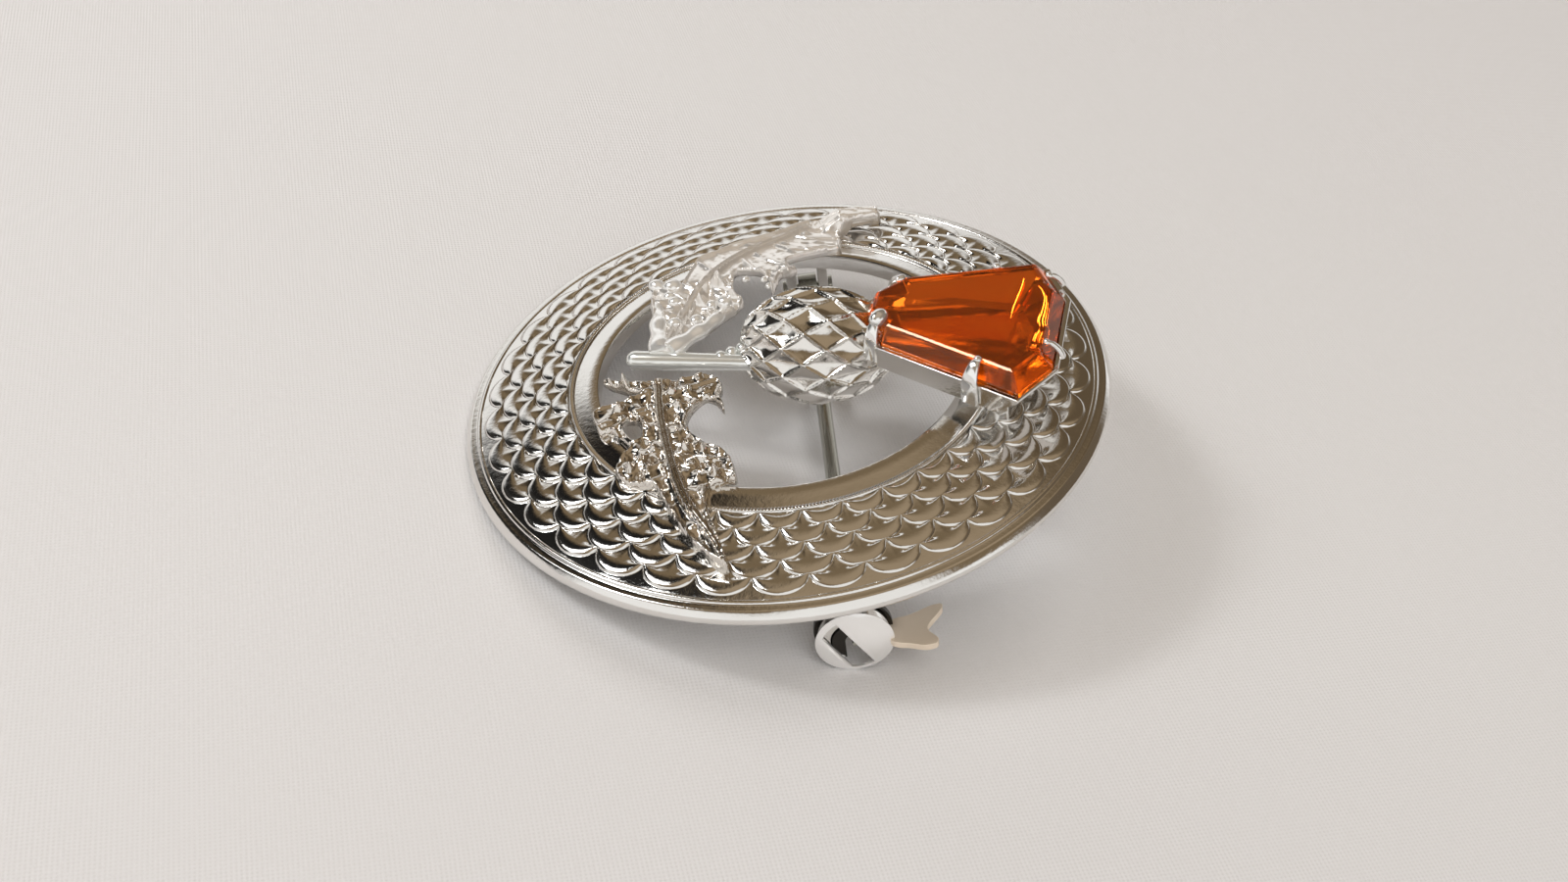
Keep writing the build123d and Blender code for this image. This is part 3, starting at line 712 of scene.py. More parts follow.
def make_claw(side, share, facing, half_width, ball, skipped):
    """A strip along the claw's path, into the stone at right angles to one side, with its ball.

    The claws of the wide end skip the lowest steps, because the wall leans away from them.
    """
    start, end = stone_outline[side], stone_outline[(side + 1) % len(stone_outline)]
    inward = side_normals()[facing]
    heading = stone_angle + atan2(inward[1], inward[0])
    eased = curve_through(np.column_stack([claw_path, claw_taper, claw_thickness]), 40)[skipped:]
    path = stone_place(start + (end - start) * share - eased[:, :1] * inward, eased[:, 1])
    flow = np.gradient(path, axis=0)
    upright = np.array([sin(heading), -cos(heading), 0.0])
    over = np.cross(flow, upright)
    over /= np.linalg.norm(over, axis=1)[:, None]
    widths = eased[:, 2] * half_width
    strip = sweep("strip", path, widths, eased[:, 3], up=over, sides=20, square=3.2)
    return [strip, make_ball(path[-1] + (0, 0, 0.02), ball, heading)]


claws = []
for claw in claw_sizes.values():
    claws.extend(make_claw(*claw))
claw_set = joined("claws", claws)
setting = soften(make_tray(), 0.05)
foot = soften(make_foot(), 0.12)
tell(claw_set, setting, foot)

# %% [markdown]
# The two leaves are thin castings. A leaf is hard to say as one grid, because its lobes
# fold back on themselves, so its plan is filled with triangles inside the outline, and
# the height at each point follows rules: it drapes from the hole over the ring, swells
# along the midrib and the veins, crumples between them, and rounds down to its edge.

# %% Leaf rules
leaf_thickness = 0.6
leaf_low = 1.8
leaf_sink = 0.35
leaf_grain = 0.09
leaf_slope = 0.165
edge_round = 0.2
rib_height, rib_away, rib_width = 0.36, 0.24, 0.14
groove_depth, groove_width = 0.2, 0.12
vein_height, vein_width = 0.18, 0.16
border_height, border_away, border_width = 0.14, 0.15, 0.11
roll_height, roll_width = 0.36, 0.24
near_outline = [
    (-13.12, 0.08), (-11.12, -0.80), (-8.90, -1.00), (-7.56, -1.10), (-5.98, -0.99),
    (-4.91, -1.23), (-4.37, -1.91), (-4.35, -2.92), (-4.60, -3.41), (-4.31, -4.33),
    (-4.30, -5.30), (-4.80, -4.10), (-5.48, -3.52), (-6.13, -4.05), (-6.71, -4.91),
    (-7.00, -5.83), (-6.76, -7.16), (-5.97, -8.16), (-5.06, -8.85), (-4.18, -9.94),
    (-3.86, -11.19), (-3.69, -12.70), (-4.74, -12.59), (-5.66, -12.82), (-5.96, -13.84),
    (-5.82, -15.10), (-5.42, -16.40), (-5.11, -17.93), (-4.64, -20.09), (-5.87, -19.24),
    (-7.03, -17.67), (-8.00, -15.82), (-8.86, -13.56), (-9.36, -12.20), (-10.55, -11.78),
    (-11.76, -10.94), (-12.08, -9.78), (-11.60, -8.56), (-10.90, -7.98), (-11.73, -6.56),
    (-12.44, -5.76), (-13.15, -6.03), (-13.59, -4.66), (-13.73, -3.44), (-12.43, -3.07),
    (-11.15, -2.68), (-10.09, -2.23), (-11.13, -1.69), (-12.42, -0.85),
]
near_hole = [
    (-11.60, -5.37), (-11.13, -4.95), (-10.45, -5.13), (-10.15, -5.80), (-10.20, -6.70),
    (-10.50, -7.30), (-10.75, -7.30), (-11.15, -6.60),
]
near_midrib = [
    (-8.91, -1.3), (-8.82, -4.94), (-8.4, -8.5), (-7.96, -11.02),
    (-7.26, -13.99), (-5.88, -16.98), (-4.76, -19.8),
]
near_veins = [
    [(-13.0, 0.0), (-9.2, -1.55)], [(-13.6, -3.5), (-9.0, -2.0)], [(-12.9, -5.4), (-9.0, -3.6)],
    [(-12.4, -6.2), (-10.9, -4.7), (-9.0, -4.2)],
    [(-4.5, -1.7), (-8.7, -2.9)], [(-4.3, -4.9), (-8.7, -3.9)],
    [(-11.9, -10.2), (-8.3, -8.6)], [(-11.2, -11.2), (-8.2, -9.9)], [(-9.7, -11.9), (-8.0, -11.2)],
    [(-4.5, -9.8), (-8.3, -8.0)], [(-4.1, -10.9), (-8.1, -9.2)], [(-3.9, -12.0), (-8.0, -10.3)],
]
near_roll = [
    (-9.9, -11.9), (-9.3, -12.1), (-8.85, -13.2), (-8.1, -15.5),
    (-7.0, -17.5), (-5.9, -18.9), (-4.9, -19.8),
]
far_outline = [
    (-9.26, 2.71), (-9.15, 4.84), (-9.31, 7.33), (-9.41, 9.62), (-9.03, 11.05),
    (-8.35, 11.02), (-7.18, 10.39), (-6.80, 11.10), (-6.14, 12.94), (-5.58, 14.03),
    (-4.20, 14.55), (-2.63, 15.44), (-0.67, 15.95), (1.32, 16.61), (3.12, 17.90),
    (4.93, 17.75), (6.91, 17.68), (8.94, 17.48), (9.07, 16.45), (8.77, 16.13),
    (6.88, 16.02), (5.58, 15.34), (5.73, 14.18), (5.52, 12.71), (4.14, 12.62),
    (2.21, 12.10), (1.05, 11.69), (2.08, 10.13), (1.50, 9.62), (0.60, 9.70),
    (-0.04, 7.79), (-0.24, 8.21), (-0.25, 9.37), (-0.72, 10.12), (-1.44, 10.68),
    (-2.79, 11.12), (-3.01, 9.60), (-2.92, 8.17), (-2.21, 7.50), (-3.01, 6.56),
    (-3.48, 6.30), (-4.32, 5.74), (-5.71, 4.22), (-7.59, 2.36), (-8.4, 2.1),
]
far_midrib = [
    (-8.3, 2.6), (-7.2, 6.0), (-5.4, 9.6), (-2.6, 13.0), (1.5, 15.6), (3.9, 16.9), (8.6, 16.8),
]
far_veins = [
    [(-8.7, 10.4), (-6.4, 8.0)], [(-7.2, 10.6), (-5.6, 9.2)], [(-5.8, 13.6), (-4.2, 11.2)],
    [(-2.4, 6.9), (-5.6, 8.6)], [(-2.5, 8.3), (-5.0, 9.9)],
    [(-0.2, 8.1), (-1.6, 11.4), (-2.3, 13.1)],
    [(1.8, 10.1), (-0.2, 11.9), (-1.4, 13.8)], [(5.4, 12.9), (1.6, 13.2), (0.2, 14.8)],
    [(5.5, 14.2), (3.0, 14.9), (1.8, 15.7)],
]
far_roll = [
    (-9.0, 11.0), (-7.1, 10.8), (-6.4, 12.9), (-5.5, 13.9), (-3.0, 15.1), (0.5, 16.1), (3.3, 17.6),
]
far_arms = [
    [(-8.75, 2.3, 2.6), (-8.85, 4.6, 2.5), (-8.8, 6.6, 2.35),
     (-8.85, 8.8, 2.15), (-8.9, 10.6, 1.95)],
    [(-8.05, 2.3, 2.6), (-6.5, 3.7, 2.5), (-5.5, 4.7, 2.4), (-4.5, 5.9, 2.25), (-3.7, 7.3, 2.1)],
]
far_beads = [
    (-8.9, 10.8, 2.3, 0.60), (-7.65, 10.3, 2.4, 0.65), (-7.5, 8.4, 2.3, 0.50),
    (-7.9, 9.2, 2.3, 0.45), (-3.75, 7.55, 2.3, 0.60), (-4.75, 7.5, 2.2, 0.45),
    (-6.0, 5.9, 2.2, 0.48), (-2.0, 9.9, 2.45, 0.3),
    (-7.6, 5.7, 2.3, 0.5), (-0.3, 8.6, 2.5, 0.28), (-0.6, 9.5, 2.5, 0.3),
]


def distance_to_line(points, line):
    """Distance from each point to the nearest place on a line of straight runs."""
    best = np.full(len(points), 1e9)
    for start, end in zip(line[:-1], line[1:]):
        run = end - start
        share = np.clip(((points - start) @ run) / (run @ run), 0, 1)
        best = np.minimum(best, np.linalg.norm(points - start - share[:, None] * run, axis=1))
    return best


def rounded_outline(corners, step):
    """The outline with its corners cut twice, then divided into steps of even length."""
    for _ in range(2):
        following = np.roll(corners, -1, axis=0)
        first = corners * 0.82 + following * 0.18
        second = corners * 0.18 + following * 0.82
        corners = np.stack([first, second], axis=1).reshape(-1, 2)
    closed = np.vstack([corners, corners[:1]])
    run = np.concatenate([[0], np.cumsum(np.linalg.norm(np.diff(closed, axis=0), axis=1))])
    places = np.linspace(0, run[-1], int(run[-1] / step), endpoint=False)
    return np.column_stack([np.interp(places, run, closed[:, axis]) for axis in (0, 1)])


def fill_plan(loops, grain):
    """Triangles inside the first loop and outside the others, with an even net between."""
    outline = loops[0]
    low = outline.min(axis=0)
    high = outline.max(axis=0)
    across = np.arange(low[0], high[0], grain)
    x, y = np.meshgrid(across, np.arange(low[1], high[1], grain * 0.866))
    x[1::2] += grain / 2
    spots = np.stack([x.ravel(), y.ravel()], axis=1)
    keep = within(spots, outline)
    points = []
    edges = []
    for loop in loops:
        keep &= distance_to_line(spots, np.vstack([loop, loop[:1]])) > grain * 0.6
        first, count = len(points), len(loop)
        edges += [(first + i, first + (i + 1) % count) for i in range(count)]
        points += loop.tolist()
    points = [Vector(p) for p in points + spots[keep].tolist()]
    result = geometry.delaunay_2d_cdt(points, edges, [list(range(len(outline)))], 1, 1e-6)
    plan = np.array([tuple(v) for v in result[0]])
    triangles = np.array([list(f) for f in result[2]])
    for hole in loops[1:]:
        triangles = triangles[~within(plan[triangles].mean(axis=1), hole)]
    return plan, triangles, np.array(edges)


def crumple(plan, seed, folds=9):
    """Lumps: triangle waves in several directions, added up and multiplied by their size."""
    chance = np.random.default_rng(seed)
    height = np.zeros(len(plan))
    for size in np.geomspace(0.5, 1.5, folds):
        angle = chance.uniform(0, pi)
        start = chance.uniform(0, 2)
        run = (plan[:, 0] * cos(angle) + plan[:, 1] * sin(angle)) / size + start
        height += np.abs(run % 2 - 1) * 2 - 1
    return height * np.abs(height) / folds * 1.1


def make_leaf(name, loops, midrib, veins, roll, lift, crease, seed):
    """A leaf: the filled plan at two heights, joined round its loops by walls.

    Top height = drape over the ring + thickness + lumps + two ridges with a groove
    between for the midrib, thin ridges on the veins and along the outline, and a smooth
    roll along one border, eased down at the edge by the square root of a circle's arc.
    """
    plan, triangles, edges = fill_plan(loops, leaf_grain)
    away = np.min([distance_to_line(plan, np.vstack([loop, loop[:1]])) for loop in loops], axis=0)
    rib = distance_to_line(plan, midrib)
    vein = np.min([distance_to_line(plan, np.array(line)) for line in veins], axis=0)
    edge = distance_to_line(plan, np.array(roll))
    radius = np.linalg.norm(plan, axis=1)
    drape = leaf_low - np.clip(radius - hole_radius, 0, None) * leaf_slope + lift(plan)
    swell = rib_height * hump(rib - rib_away, rib_width) - groove_depth * hump(rib, groove_width)
    calm = np.clip((rib - 0.3) / 0.3, 0, 1)
    swell = np.maximum(swell, vein_height * calm * hump(vein, vein_width))
    swell = np.maximum(swell, border_height * hump(away - border_away, border_width))
    swell = np.maximum(swell, roll_height * hump(edge, roll_width))
    ease = np.sqrt(np.clip(1 - (1 - np.clip(away / edge_round, 0, 1)) ** 2, 0, 1))
    calm *= np.clip(edge / 0.4, 0, 1)
    lumps = calm * crease(plan) * crumple(plan, seed)
    top = drape + leaf_thickness - edge_round + ease * (edge_round + swell + lumps)
    low = drape - 0.05 * ease - leaf_sink * np.clip(radius - hole_radius - 0.4, 0, 1)
    count = len(plan)
    points = np.vstack([np.column_stack([plan, top]), np.column_stack([plan, low])])
    wall = np.column_stack([edges, edges[:, ::-1] + count])
    return add_piece(name, points, [triangles, triangles[:, ::-1] + count, wall], 65)


# %% [markdown]
# The near leaf is crumpled all over and hugs the ring down to its point. The far one has
# a forked root of two thick round arms with a sunk web between them, a smooth body that
# melts into the scales, and a tip that curls up off the ring.

# %% The two leaves


def near_lift(plan):
    """The near leaf lies level, a little above the scales."""
    return 0.25 * np.clip((np.linalg.norm(plan, axis=1) - hole_radius) / 3, 0, 1)


def far_lift(plan):
    """The far leaf sinks between its arms and rises at its tip."""
    radius = np.linalg.norm(plan, axis=1)
    web = -0.5 * np.exp(-(((plan[:, 0] + 5.6) / 2.2) ** 2 + ((plan[:, 1] - 7.0) / 2.8) ** 2))
    tip = 1.0 * np.clip((plan[:, 0] - 4.2) / 1.6, 0, 1) * np.clip((plan[:, 1] - 15.4) / 0.5, 0, 1)
    slope = 0.16 * np.clip(hole_radius - radius, 0, 3.0) * np.clip((plan[:, 1] - 6.5) / 3, 0, 1)
    return web + tip + slope - 0.05 + 0.1 * np.clip((radius - hole_radius) / 3, 0, 1)


def near_crease(plan):
    """How strongly the near leaf crumples: a little less towards its point."""
    return 0.26 - 0.08 * np.clip((-plan[:, 1] - 13) / 5, 0, 1)


def far_crease(plan):
    """The far leaf crumples between its arms and stays smooth over the scales."""
    return 0.06 + 0.24 * np.clip((12.2 - np.linalg.norm(plan, axis=1)) / 2, 0, 1)


near_loops = [rounded_outline(np.array(loop), leaf_grain) for loop in (near_outline, near_hole)]
near_leaf = make_leaf(
    "near_leaf", near_loops, curve_through(near_midrib, 40), near_veins, near_roll,
    near_lift, near_crease, 3,
)
far_loops = [rounded_outline(np.array(far_outline), leaf_grain)]
far_leaf = make_leaf(
    "far_leaf", far_loops, curve_through(far_midrib, 40), far_veins, far_roll,
    far_lift, far_crease, 8,
)
root_parts = []
for arm in far_arms:
    path = curve_through(arm, 60)
    thick = np.linspace(0.78, 0.46, 60) * (1 + 0.14 * np.sin(np.linspace(0, 19, 60)))
    path = path - (0, 0, 0.2)
    root_parts.append(sweep("arm", path, thick, thick * 0.8, sides=24, smooth_angle=70))
for x, y, z, radius in far_beads:
    root_parts.append(make_ball((x, y, z), (radius, radius * 1.15, radius * 0.85), 0.6 * x))
far_root = joined("far_leaf_root", root_parts)
tell(near_leaf, far_leaf, far_root)

# %% [markdown]
# Under the ring are the findings. The pin and its rivet fit closely, so they stay exactly
# as the frame has them. The fixed ones are soldered to the ring: two ears that carry the
# rivet and a strap bent to a C round the catch's spool.

# %% Hinge ears and catch strap
pivot_flat = lean_matrix.T @ (np.array(joints["pin_hinge"]["pos_m"]) * 1000 - shift)
ear_radius = 1.597
ear_gap = 0.87
ear_thickness = 0.8
strap_inner = 1.55
strap_outer = 2.4
strap_half_width = 0.44
strap_ends = (243.0, 9.0)
post_half_width = 1.1
solder_depth = 0.35


def make_ear(side):
    """A plate with a half-round foot, from below the pivot up into the ring's back."""
    turn = np.linspace(0, -pi, 20)
    y = pivot_flat[1] + ear_radius * np.cos(turn)
    z = pivot_flat[2] + ear_radius * np.sin(turn)
    y = np.concatenate([y, [pivot_flat[1] - ear_radius, pivot_flat[1] + ear_radius]])
    z = np.concatenate([z, [back(pivot_flat[1]) + solder_depth] * 2])
    rows = []
    for offset in (ear_gap, ear_gap + ear_thickness):
        rows.append(np.column_stack([np.full(len(y), pin_offset + side * offset), y, z]))
    return capped_rows("ear", rows, 30)


def make_strap():
    """A flat strip carried round an arc, with a straight foot up into the ring's back."""
    turn = np.radians(np.linspace(strap_ends[0], strap_ends[1], 60))
    middle = (strap_inner + strap_outer) / 2
    path = np.column_stack([
        pin_offset + middle * np.cos(turn),
        np.full(60, -catch_from_centre),
        -catch_drop + middle * np.sin(turn),
    ])
    rise = np.linspace(-catch_drop + middle, back(catch_from_centre) + solder_depth, 6)
    post = np.column_stack([np.full(6, pin_offset), np.full(6, -catch_from_centre), rise])
    flat_bar = {"up": (0, 1, 0), "sides": 24, "square": 8}
    return [
        sweep("strip", path, strap_half_width, (strap_outer - strap_inner) / 2, **flat_bar),
        sweep("post", post, post_half_width, strap_half_width, **flat_bar),
    ]


findings = joined("soldered_findings", [make_ear(-1), make_ear(1)] + make_strap())
soften(findings, 0.08, 30)
tell(findings)

# %% [markdown]
# The turning catch is a spool cut from plates. The front one is a lens with a leaning
# window, where the pin's point shows beside a D-shaped half. The hub and the round back
# one are slotted from below, so that the pin can leave. A forked lever turns the spool.
# Each plate is an outline filled with triangles at two depths, with its edges bevelled.

# %% The catch's spool
flange_radius = 2.617
hub_radius = 1.5
rim_inner = 2.2
catch_half_width = 1.0
flange_thickness = 0.5
slot_half = 0.62
front_dome = 0.42
window_lean = radians(-60)
window_sides = (-1.39, 0.04)
lever_outline = [
    (0.95, -0.42), (2.2, -0.44), (2.4, -0.92), (3.4, -0.98), (4.5, -1.38), (5.3, -1.40),
    (5.45, -1.05), (4.75, -0.25), (4.9, 0.1), (5.95, 0.92), (6.0, 1.32), (5.2, 1.42),
    (3.6, 1.0), (2.4, 0.92),
    (2.2, 0.44), (0.95, 0.42),
]


def arc(start, end, radius, count=40):
    """Points along an arc about the catch's axis, between two angles in degrees."""
    turn = np.radians(np.linspace(start, end, count))
    return np.stack([radius * np.cos(turn), radius * np.sin(turn)], axis=1)


def slotted_disc(radius):
    """A disc's outline with the slot cut in from below up to a round end at its middle."""
    gap = degrees(asin(slot_half / radius))
    return np.vstack([arc(gap - 90, 270 - gap, radius, 72), arc(180, 0, slot_half, 20)])


def window_outline():
    """The window in the front plate: what two leaning chords leave of a smaller circle."""
    low, high = [degrees(asin(side / rim_inner)) for side in window_sides]
    across = degrees(window_lean)
    return np.vstack([
        arc(across + high, across + low, rim_inner, 12),
        arc(across + 180 - low, across + 180 - high, rim_inner, 12),
    ])


def plate_between(name, loops, place, low, high, grain=99.0):
    """A plate: its filled outline at two depths, joined by a wall. Place gives the points."""
    plan, triangles, edges = fill_plan(loops, grain)
    points = np.vstack([place(plan, high), place(plan, low)])
    wall = np.column_stack([edges, edges[:, ::-1] + len(plan)])
    return add_piece(name, points, [triangles, triangles[:, ::-1] + len(plan), wall], 40)


def domed_place(plan, depth):
    """As catch_place, with the outer face swelling towards the axis like a lens."""
    points = catch_place(plan, depth)
    if depth == -catch_half_width:
        points[:, 1] += front_dome * (np.linalg.norm(plan, axis=1) / flange_radius) ** 3
    return points


def catch_place(plan, depth):
    """Flat-frame points of a plate across the catch's axis, that far along it."""
    y = np.full(len(plan), depth - catch_from_centre)
    return np.column_stack([pin_offset + plan[:, 0], y, plan[:, 1] - catch_drop])


def lever_place(plan, height):
    """The lever's points: it falls a little, then rises and leans over as it nears the fork."""
    rise = 0.06 * (plan[:, 0] - 2.6) ** 2 * (plan[:, 0] > 2.6) - 0.10 * plan[:, 0]
    rise += 0.24 * plan[:, 1] * np.clip((plan[:, 0] - 2.2) / 0.8, 0, 1)
    x = pin_offset + plan[:, 0]
    return np.column_stack([x, plan[:, 1] - catch_from_centre, rise + height - catch_drop])


lever_loop = rounded_outline(np.array(lever_outline), 0.12)
front_loops = [arc(0, 355, flange_radius, 72), window_outline()]
front_back = flange_thickness - catch_half_width
front = plate_between("catch_front", front_loops, domed_place, -catch_half_width, front_back, 0.18)
hub = plate_between("hub", [slotted_disc(hub_radius)], catch_place, -0.52, 0.52)
rear = plate_between("rear", [slotted_disc(flange_radius)], catch_place, 0.5, catch_half_width)
lever = plate_between("catch_lever", [lever_loop], lever_place, -0.25, 0.25, 0.25)
core = joined("catch_core", [hub, rear])
for piece, width in ((front, 0.12), (core, 0.06), (lever, 0.16)):
    soften(piece, width, 35, 3)
tell(front, core, lever)

# %% [markdown]
# Shader sums read best as sums, so a small class wraps a socket and turns each operator
# into a Math node. Everything that isn't arithmetic comes from one method that makes a
# node, sets it up, then feeds its sockets with numbers, colours or other sockets.

# %% Shader arithmetic


class Signal:
    """An output socket that can be added, multiplied and compared like a number."""

    def __init__(self, paint, socket):
        self.paint = paint
        self.socket = socket

    def math(self, operation, first, second=None):
        values = {0: first} if second is None else {0: first, 1: second}
        return self.paint.node("ShaderNodeMath", {"operation": operation}, values)

    def __add__(self, other):
        return self.math("ADD", self, other)

    def __radd__(self, other):
        return self.math("ADD", other, self)

    def __sub__(self, other):
        return self.math("SUBTRACT", self, other)

    def __rsub__(self, other):
        return self.math("SUBTRACT", other, self)

    def __mul__(self, other):
        return self.math("MULTIPLY", self, other)

    def __rmul__(self, other):
        return self.math("MULTIPLY", other, self)

    def __pow__(self, other):
        return self.math("POWER", self, other)


class Paint:
    """A node tree to draw in, for a material or for the surroundings."""

    def __init__(self, tree):
        self.tree = tree
        tree.nodes.clear()

    def feed(self, socket, value):
        if isinstance(value, Signal):
            self.tree.links.new(value.socket, socket)
        else:
            socket.default_value = value

    def node(self, kind, settings=None, inputs=None, output=0):
        made = self.tree.nodes.new(kind)
        for key, value in (settings or {}).items():
            if key == "stops":
                ramp = made.color_ramp
                ramp.elements[0].position, ramp.elements[0].color = value[0]
                ramp.elements[1].position, ramp.elements[1].color = value[-1]
                for position, colour in value[1:-1]:
                    ramp.elements.new(position).color = colour
            else:
                setattr(made, key, value)
        for key, value in (inputs or {}).items():
            self.feed(made.inputs[key], value)
        return Signal(self, made.outputs[output])

    def mix(self, factor, first, second):
        """One colour turning into another as the factor goes from 0 to 1."""
        return self.node(
            "ShaderNodeMix", {"data_type": "RGBA"}, {0: factor, 6: first, 7: second}, 2
        )

    def place(self, scale):
        """Object coordinates turned into the pattern's own scale, in patterns per metre."""
        here = self.node("ShaderNodeTexCoord", output=3)
        sockets = {"Vector": here, "Scale": (scale, scale, scale)}
        return self.node("ShaderNodeMapping", None, sockets)

    def noise(self, scale, detail=3, rough=0.5):
        """Soft noise between 0 and 1."""
        settings = {"Vector": self.place(scale), "Scale": 1, "Detail": detail, "Roughness": rough}
        return self.node("ShaderNodeTexNoise", None, settings)

    def weave(self, scale, turn):
        """Crossed threads between 0 and 1: two sets of stripes at right angles, multiplied."""
        here = self.node("ShaderNodeTexCoord", output=3)
        spot = self.node("ShaderNodeMapping", None, {
            "Vector": here, "Rotation": (0, 0, turn), "Scale": (scale, scale, scale)
        })
        warp = self.node("ShaderNodeSeparateXYZ", None, {"Vector": spot}, 0)
        weft = self.node("ShaderNodeSeparateXYZ", None, {"Vector": spot}, 1)
        return warp.math("SINE", warp) * weft.math("SINE", weft) * 0.5 + 0.5

    def bump(self, height, strength, distance):
        """A normal that leans as if the surface had this height, in metres."""
        links = {"Height": height, "Strength": strength, "Distance": distance}
        return self.node("ShaderNodeBump", None, links)

    def step(self, value, start, end):
        """0 up to the start and 1 from the end on, with a smooth rise between."""
        return self.node(
            "ShaderNodeMapRange",
            {"interpolation_type": "SMOOTHSTEP"},
            {"Value": value, "From Min": start, "From Max": end},
        )

    def surface(self, sockets):
        """A Principled surface with these sockets fed, joined to the material's output."""
        self.finish(self.node("ShaderNodeBsdfPrincipled", None, sockets))

    def finish(self, shader, kind="ShaderNodeOutputMaterial"):
        """Joins a shader to a new output node."""
        self.feed(self.tree.nodes.new(kind).inputs["Surface"], shader)


def new_material(name):
    """An empty material and its paint."""
    material = bpy.data.materials.new(name)
    material.use_nodes = True
    return material, Paint(material.node_tree)


# %% [markdown]
# Bright plating is a mirror that isn't quite perfect. Slow noise makes its roughness
# wander, a fine one adds the faint orange-peel of polished castings, and the colour goes
# a little warmer where the plating is thin. The stem, the claws, the far leaf and the
# catch have a satin skin, which scatters light as well as mirroring it: a lower Metallic.
# The far leaf and its root also get lighter colours than the near leaf, a painted
# highlight for the brighter light on them. The catch's lever gets a warm light colour, a
# painted reflection, and its hub and back plate a near-black, painted shade in the hollow.

# %% Metal finishes


def plated_metal(name, light, dark, roughness, skin, skin_scale, metallic=1.0):
    """Mirror metal: colour and roughness wander slowly, and the skin adds fine waves."""
    material, paint = new_material(name)
    slow = paint.noise(220, 2)
    fine = paint.noise(skin_scale, 4, 0.6)
    colour = paint.mix(slow, (*light, 1), (*dark, 1))
    rough = roughness + 0.09 * fine * slow
    normal = paint.bump(fine, 1.0, skin)
    paint.surface({
        "Base Color": colour,
        "Metallic": metallic,
        "Roughness": rough,
        "Normal": normal,
    })
    return material


# Each metal's light and dark colour, roughness, skin height, skin scale and metallic share.
metal_recipes = {
    "ring_metal": ((0.86, 0.85, 0.83), (0.74, 0.72, 0.69), 0.07, 0.000012, 2600),
    "leaf_metal": ((0.84, 0.81, 0.77), (0.62, 0.57, 0.51), 0.10, 0.00003, 1600),
    # The far leaf and its root are lighter copies of the leaf's metal: painted highlight.
    "far_leaf_painted_highlight": ((0.95, 0.93, 0.91), (0.78, 0.74, 0.69), 0.16, 0.00003, 1500, 0.65),
    "root_painted_highlight": ((0.97, 0.97, 0.96), (0.90, 0.89, 0.87), 0.12, 0.00003, 1500, 0.6),
    "bulb_metal": ((0.86, 0.85, 0.82), (0.74, 0.71, 0.67), 0.07, 0.00002, 2800),
    "rod_metal": ((0.92, 0.94, 0.92), (0.84, 0.86, 0.84), 0.16, 0.000006, 1500, 0.7),
    "claw_metal": ((0.94, 0.94, 0.93), (0.84, 0.84, 0.83), 0.07, 0.000006, 1500, 0.85),
    "wire_metal": ((0.52, 0.52, 0.47), (0.40, 0.40, 0.36), 0.20, 0.000006, 2200),
    "catch_metal": ((0.94, 0.93, 0.92), (0.88, 0.87, 0.86), 0.08, 0.000008, 1800, 0.6),
    # Near-black for the catch's hub and back plate: painted shade for the hollow behind the front
    # plate.
    "painted_shade_metal": ((0.06, 0.055, 0.05), (0.03, 0.028, 0.025), 0.22, 0.00001, 1800),
    # Warm light colour on the lever: a painted reflection of the bright cloth.
    "lever_painted_reflection": ((0.93, 0.82, 0.68), (0.84, 0.72, 0.58), 0.30, 0.00001, 1500, 0.6),
}
metals = {name: plated_metal(name, *recipe) for name, recipe in metal_recipes.items()}
print(len(metals), "metal finishes")

# %% [markdown]
# The stone is glass with a deep orange body. Light goes in through the crown, meets the
# foil on the underside and comes back out, coloured twice. So the crown is transmissive
# glass, and the faces below the girdle are a warm mirror.

# %% Stone finishes


def glass_material():
    """Clear-cut orange glass: full transmission, tinted on the way in and out."""
    material, paint = new_material("orange_glass")
    slow = paint.noise(160, 2)
    colour = paint.mix(slow, (1.0, 0.34, 0.06, 1), (0.98, 0.24, 0.04, 1))
    paint.surface({
        "Base Color": colour,
        "Roughness": 0.0,
        "IOR": 1.56,
        "Transmission Weight": 1.0,
        "Specular Tint": (1.0, 0.72, 0.5, 1),
    })
    return material


def foil_material():
    """The mirror foil behind the stone: warm, with a slight ripple."""
    material, paint = new_material("stone_foil")
    slow = paint.noise(500, 3)
    colour = paint.mix(slow, (1.0, 0.74, 0.32, 1), (1.0, 0.50, 0.16, 1))
    paint.surface({
        "Base Color": colour,
        "Metallic": 0.86,
        "Roughness": 0.09,
        "Normal": paint.bump(slow, 0.6, 0.00003),
    })
    return material


glass = glass_material()
foil = foil_material()
stone.data.materials.append(glass)
stone.data.materials.append(foil)
streaks.data.materials.append(foil)


def foil_below_girdle():
    """Gives the foil to every face whose middle lies below the girdle, in the flat frame."""
    count = len(stone.data.polygons)
    middles = np.empty(count * 3)
    stone.data.polygons.foreach_get("center", middles)
    flat = (middles.reshape(-1, 3) * 1000 - shift) @ lean_matrix
    index = (flat[:, 2] < girdle_height).astype(np.int32)
    stone.data.polygons.foreach_set("material_index", index)
    print("foil faces", int(index.sum()), "of", count)


foil_below_girdle()

# %% [markdown]
# Every made piece takes a finish, rides on a body and stands for the node it replaces.
# The frame's own pieces keep their shapes and get a finish in their slots.

# %% Finishes, bodies and nodes
# The far leaf and its root take lighter finishes than the near leaf: painted highlight.
root_finishes = {
    ring: "ring_metal", stem: "rod_metal", bulb: "bulb_metal", near_leaf: "leaf_metal",
    far_leaf: "far_leaf_painted_highlight", far_root: "root_painted_highlight", setting: "ring_metal", foot: "claw_metal",
    claw_set: "claw_metal", findings: "ring_metal",
}
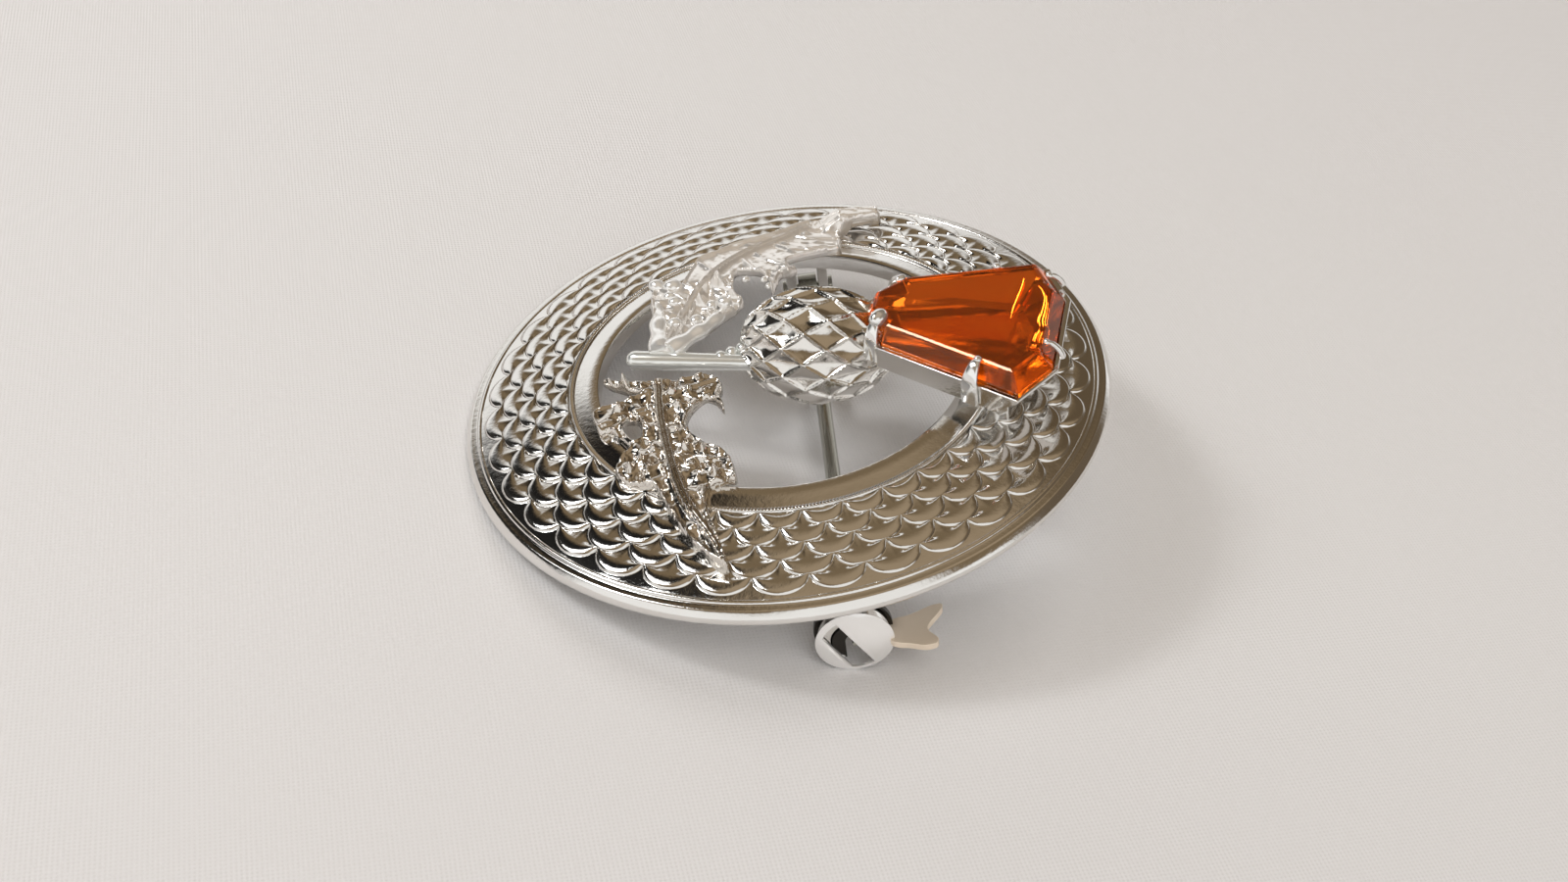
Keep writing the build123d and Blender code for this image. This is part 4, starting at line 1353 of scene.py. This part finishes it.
# The core's near-black finish is painted shade in the catch's hollow.
# The lever's warm finish is a painted reflection.
catch_finishes = {front: "catch_metal", core: "painted_shade_metal", lever: "lever_painted_reflection"}
for piece, finish in root_finishes.items():
    piece.data.materials.append(metals[finish])
    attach(piece, "root")
    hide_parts("ring_and_thistle")
for piece, finish in catch_finishes.items():
    piece.data.materials.append(metals[finish])
    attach(piece, "rotor")
    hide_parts("catch_rotor")
for piece in (stone, streaks):
    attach(piece, "root")
    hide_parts("stone")
for node in ("pin_stem", "hinge_rivet"):
    for slot in frame["nodes"][node].material_slots:
        slot.material = metals["wire_metal"]
print(len(root_finishes), "root pieces,", len(catch_finishes), "catch pieces, stone and foil")

# %% [markdown]
# Mirror metal shows its room, so the room is part of the look. The far side is bright at
# the horizon, as from a window, the ceiling above is a warm brown, and the left is dim.
# Two panels on the left give the white glints. Two more only light the satin and the
# cloth, which is a fine weave.

# %% Floor, surroundings and light
floor_reach = 1.4
floor_rows = 40


def make_floor():
    """A wide level sheet at the height the brooch rests on, curved up far behind it."""
    t = np.linspace(0, 1, floor_rows)
    reach = floor_reach
    y = -reach + 2.4 * reach * t
    height = 0.22 * np.clip((t - 0.72) / 0.28, 0, 1) ** 2
    x = np.linspace(-reach, reach, 2)
    points = np.array([[[px, py, pz] for px in x] for py, pz in zip(y, height)])
    points = (points * 1000 - shift) @ lean_matrix
    floor = add_piece("floor", points.reshape(-1, 3), [grid_faces(floor_rows, 2)])
    material, paint = new_material("pale_floor")
    slow = paint.noise(9, 2)
    colour = paint.mix(slow, (0.78, 0.77, 0.775, 1), (0.74, 0.73, 0.735, 1))
    weave = paint.weave(16000, 0.6)
    paint.surface({
        "Base Color": colour,
        "Roughness": 0.6,
        "Normal": paint.bump(weave, 0.5, 0.00006),
    })
    floor.data.materials.append(material)


def make_world():
    """Surroundings by direction: each patch is a colour that fades with the angle to it."""
    world = bpy.data.worlds.new("surroundings")
    bpy.context.scene.world = world
    world.use_nodes = True
    paint = Paint(world.node_tree)
    here = paint.node("ShaderNodeTexCoord")
    height = paint.node("ShaderNodeSeparateXYZ", None, {"Vector": here}, 2)
    rise = paint.step(height, 0.40, 0.57)
    colour = paint.mix(rise, (0.98, 0.97, 0.95, 1), (0.20, 0.145, 0.085, 1))
    above = paint.step(height, 0.70, 0.97)
    colour = paint.mix(above, colour, (0.36, 0.275, 0.18, 1))
    patches = [
        ((0.42, 0.68, 0.60), 0.86, 0.97, (0.12, 0.085, 0.05, 1)),
        ((-0.68, 0.39, 0.62), 0.87, 0.95, (0.012, 0.011, 0.010, 1)),
        ((-0.93, 0.30, 0.14), 0.84, 0.95, (0.03, 0.028, 0.025, 1)),
        ((0.92, 0.10, 0.30), 0.80, 0.96, (0.14, 0.105, 0.07, 1)),
        ((0.1, -0.85, 0.5), 0.86, 0.95, (0.95, 0.94, 0.92, 1)),
    ]
    for direction, start, end, shade in patches:
        unit = Vector(direction).normalized()
        product = {"operation": "DOT_PRODUCT"}
        near = paint.node("ShaderNodeVectorMath", product, {0: here, 1: unit}, 1)
        colour = paint.mix(paint.step(near, start, end), colour, shade)
    glow = paint.node("ShaderNodeBackground", None, {"Color": colour, "Strength": 1.0})
    paint.finish(glow, "ShaderNodeOutputWorld")


def make_panel(name, place, size, power, mirrored=True):
    """A soft square light that faces the brooch."""
    data = bpy.data.lights.new(name, "AREA")
    data.shape = "RECTANGLE"
    data.size, data.size_y = size
    data.energy = power
    lamp = bpy.data.objects.new(name, data)
    lamp.location = place
    lamp.visible_glossy = mirrored
    lamp.rotation_euler = (-Vector(place)).to_track_quat("-Z", "Y").to_euler()
    bpy.context.collection.objects.link(lamp)
    print(name, power, "watts")


make_floor()
make_world()
make_panel("window_left", (-0.36, 0.06, 0.36), (0.22, 0.22), 0.5)
make_panel("glint_left", (-0.355, 0.077, 0.372), (0.08, 0.08), 0.44)
make_panel("key_near", (0.06, -0.50, 0.75), (0.50, 0.50), 2.1, False)
make_panel("soft_top", (0.35, 0.45, 0.80), (0.50, 0.50), 2.0, False)
bpy.context.scene.view_settings.view_transform = "Standard"
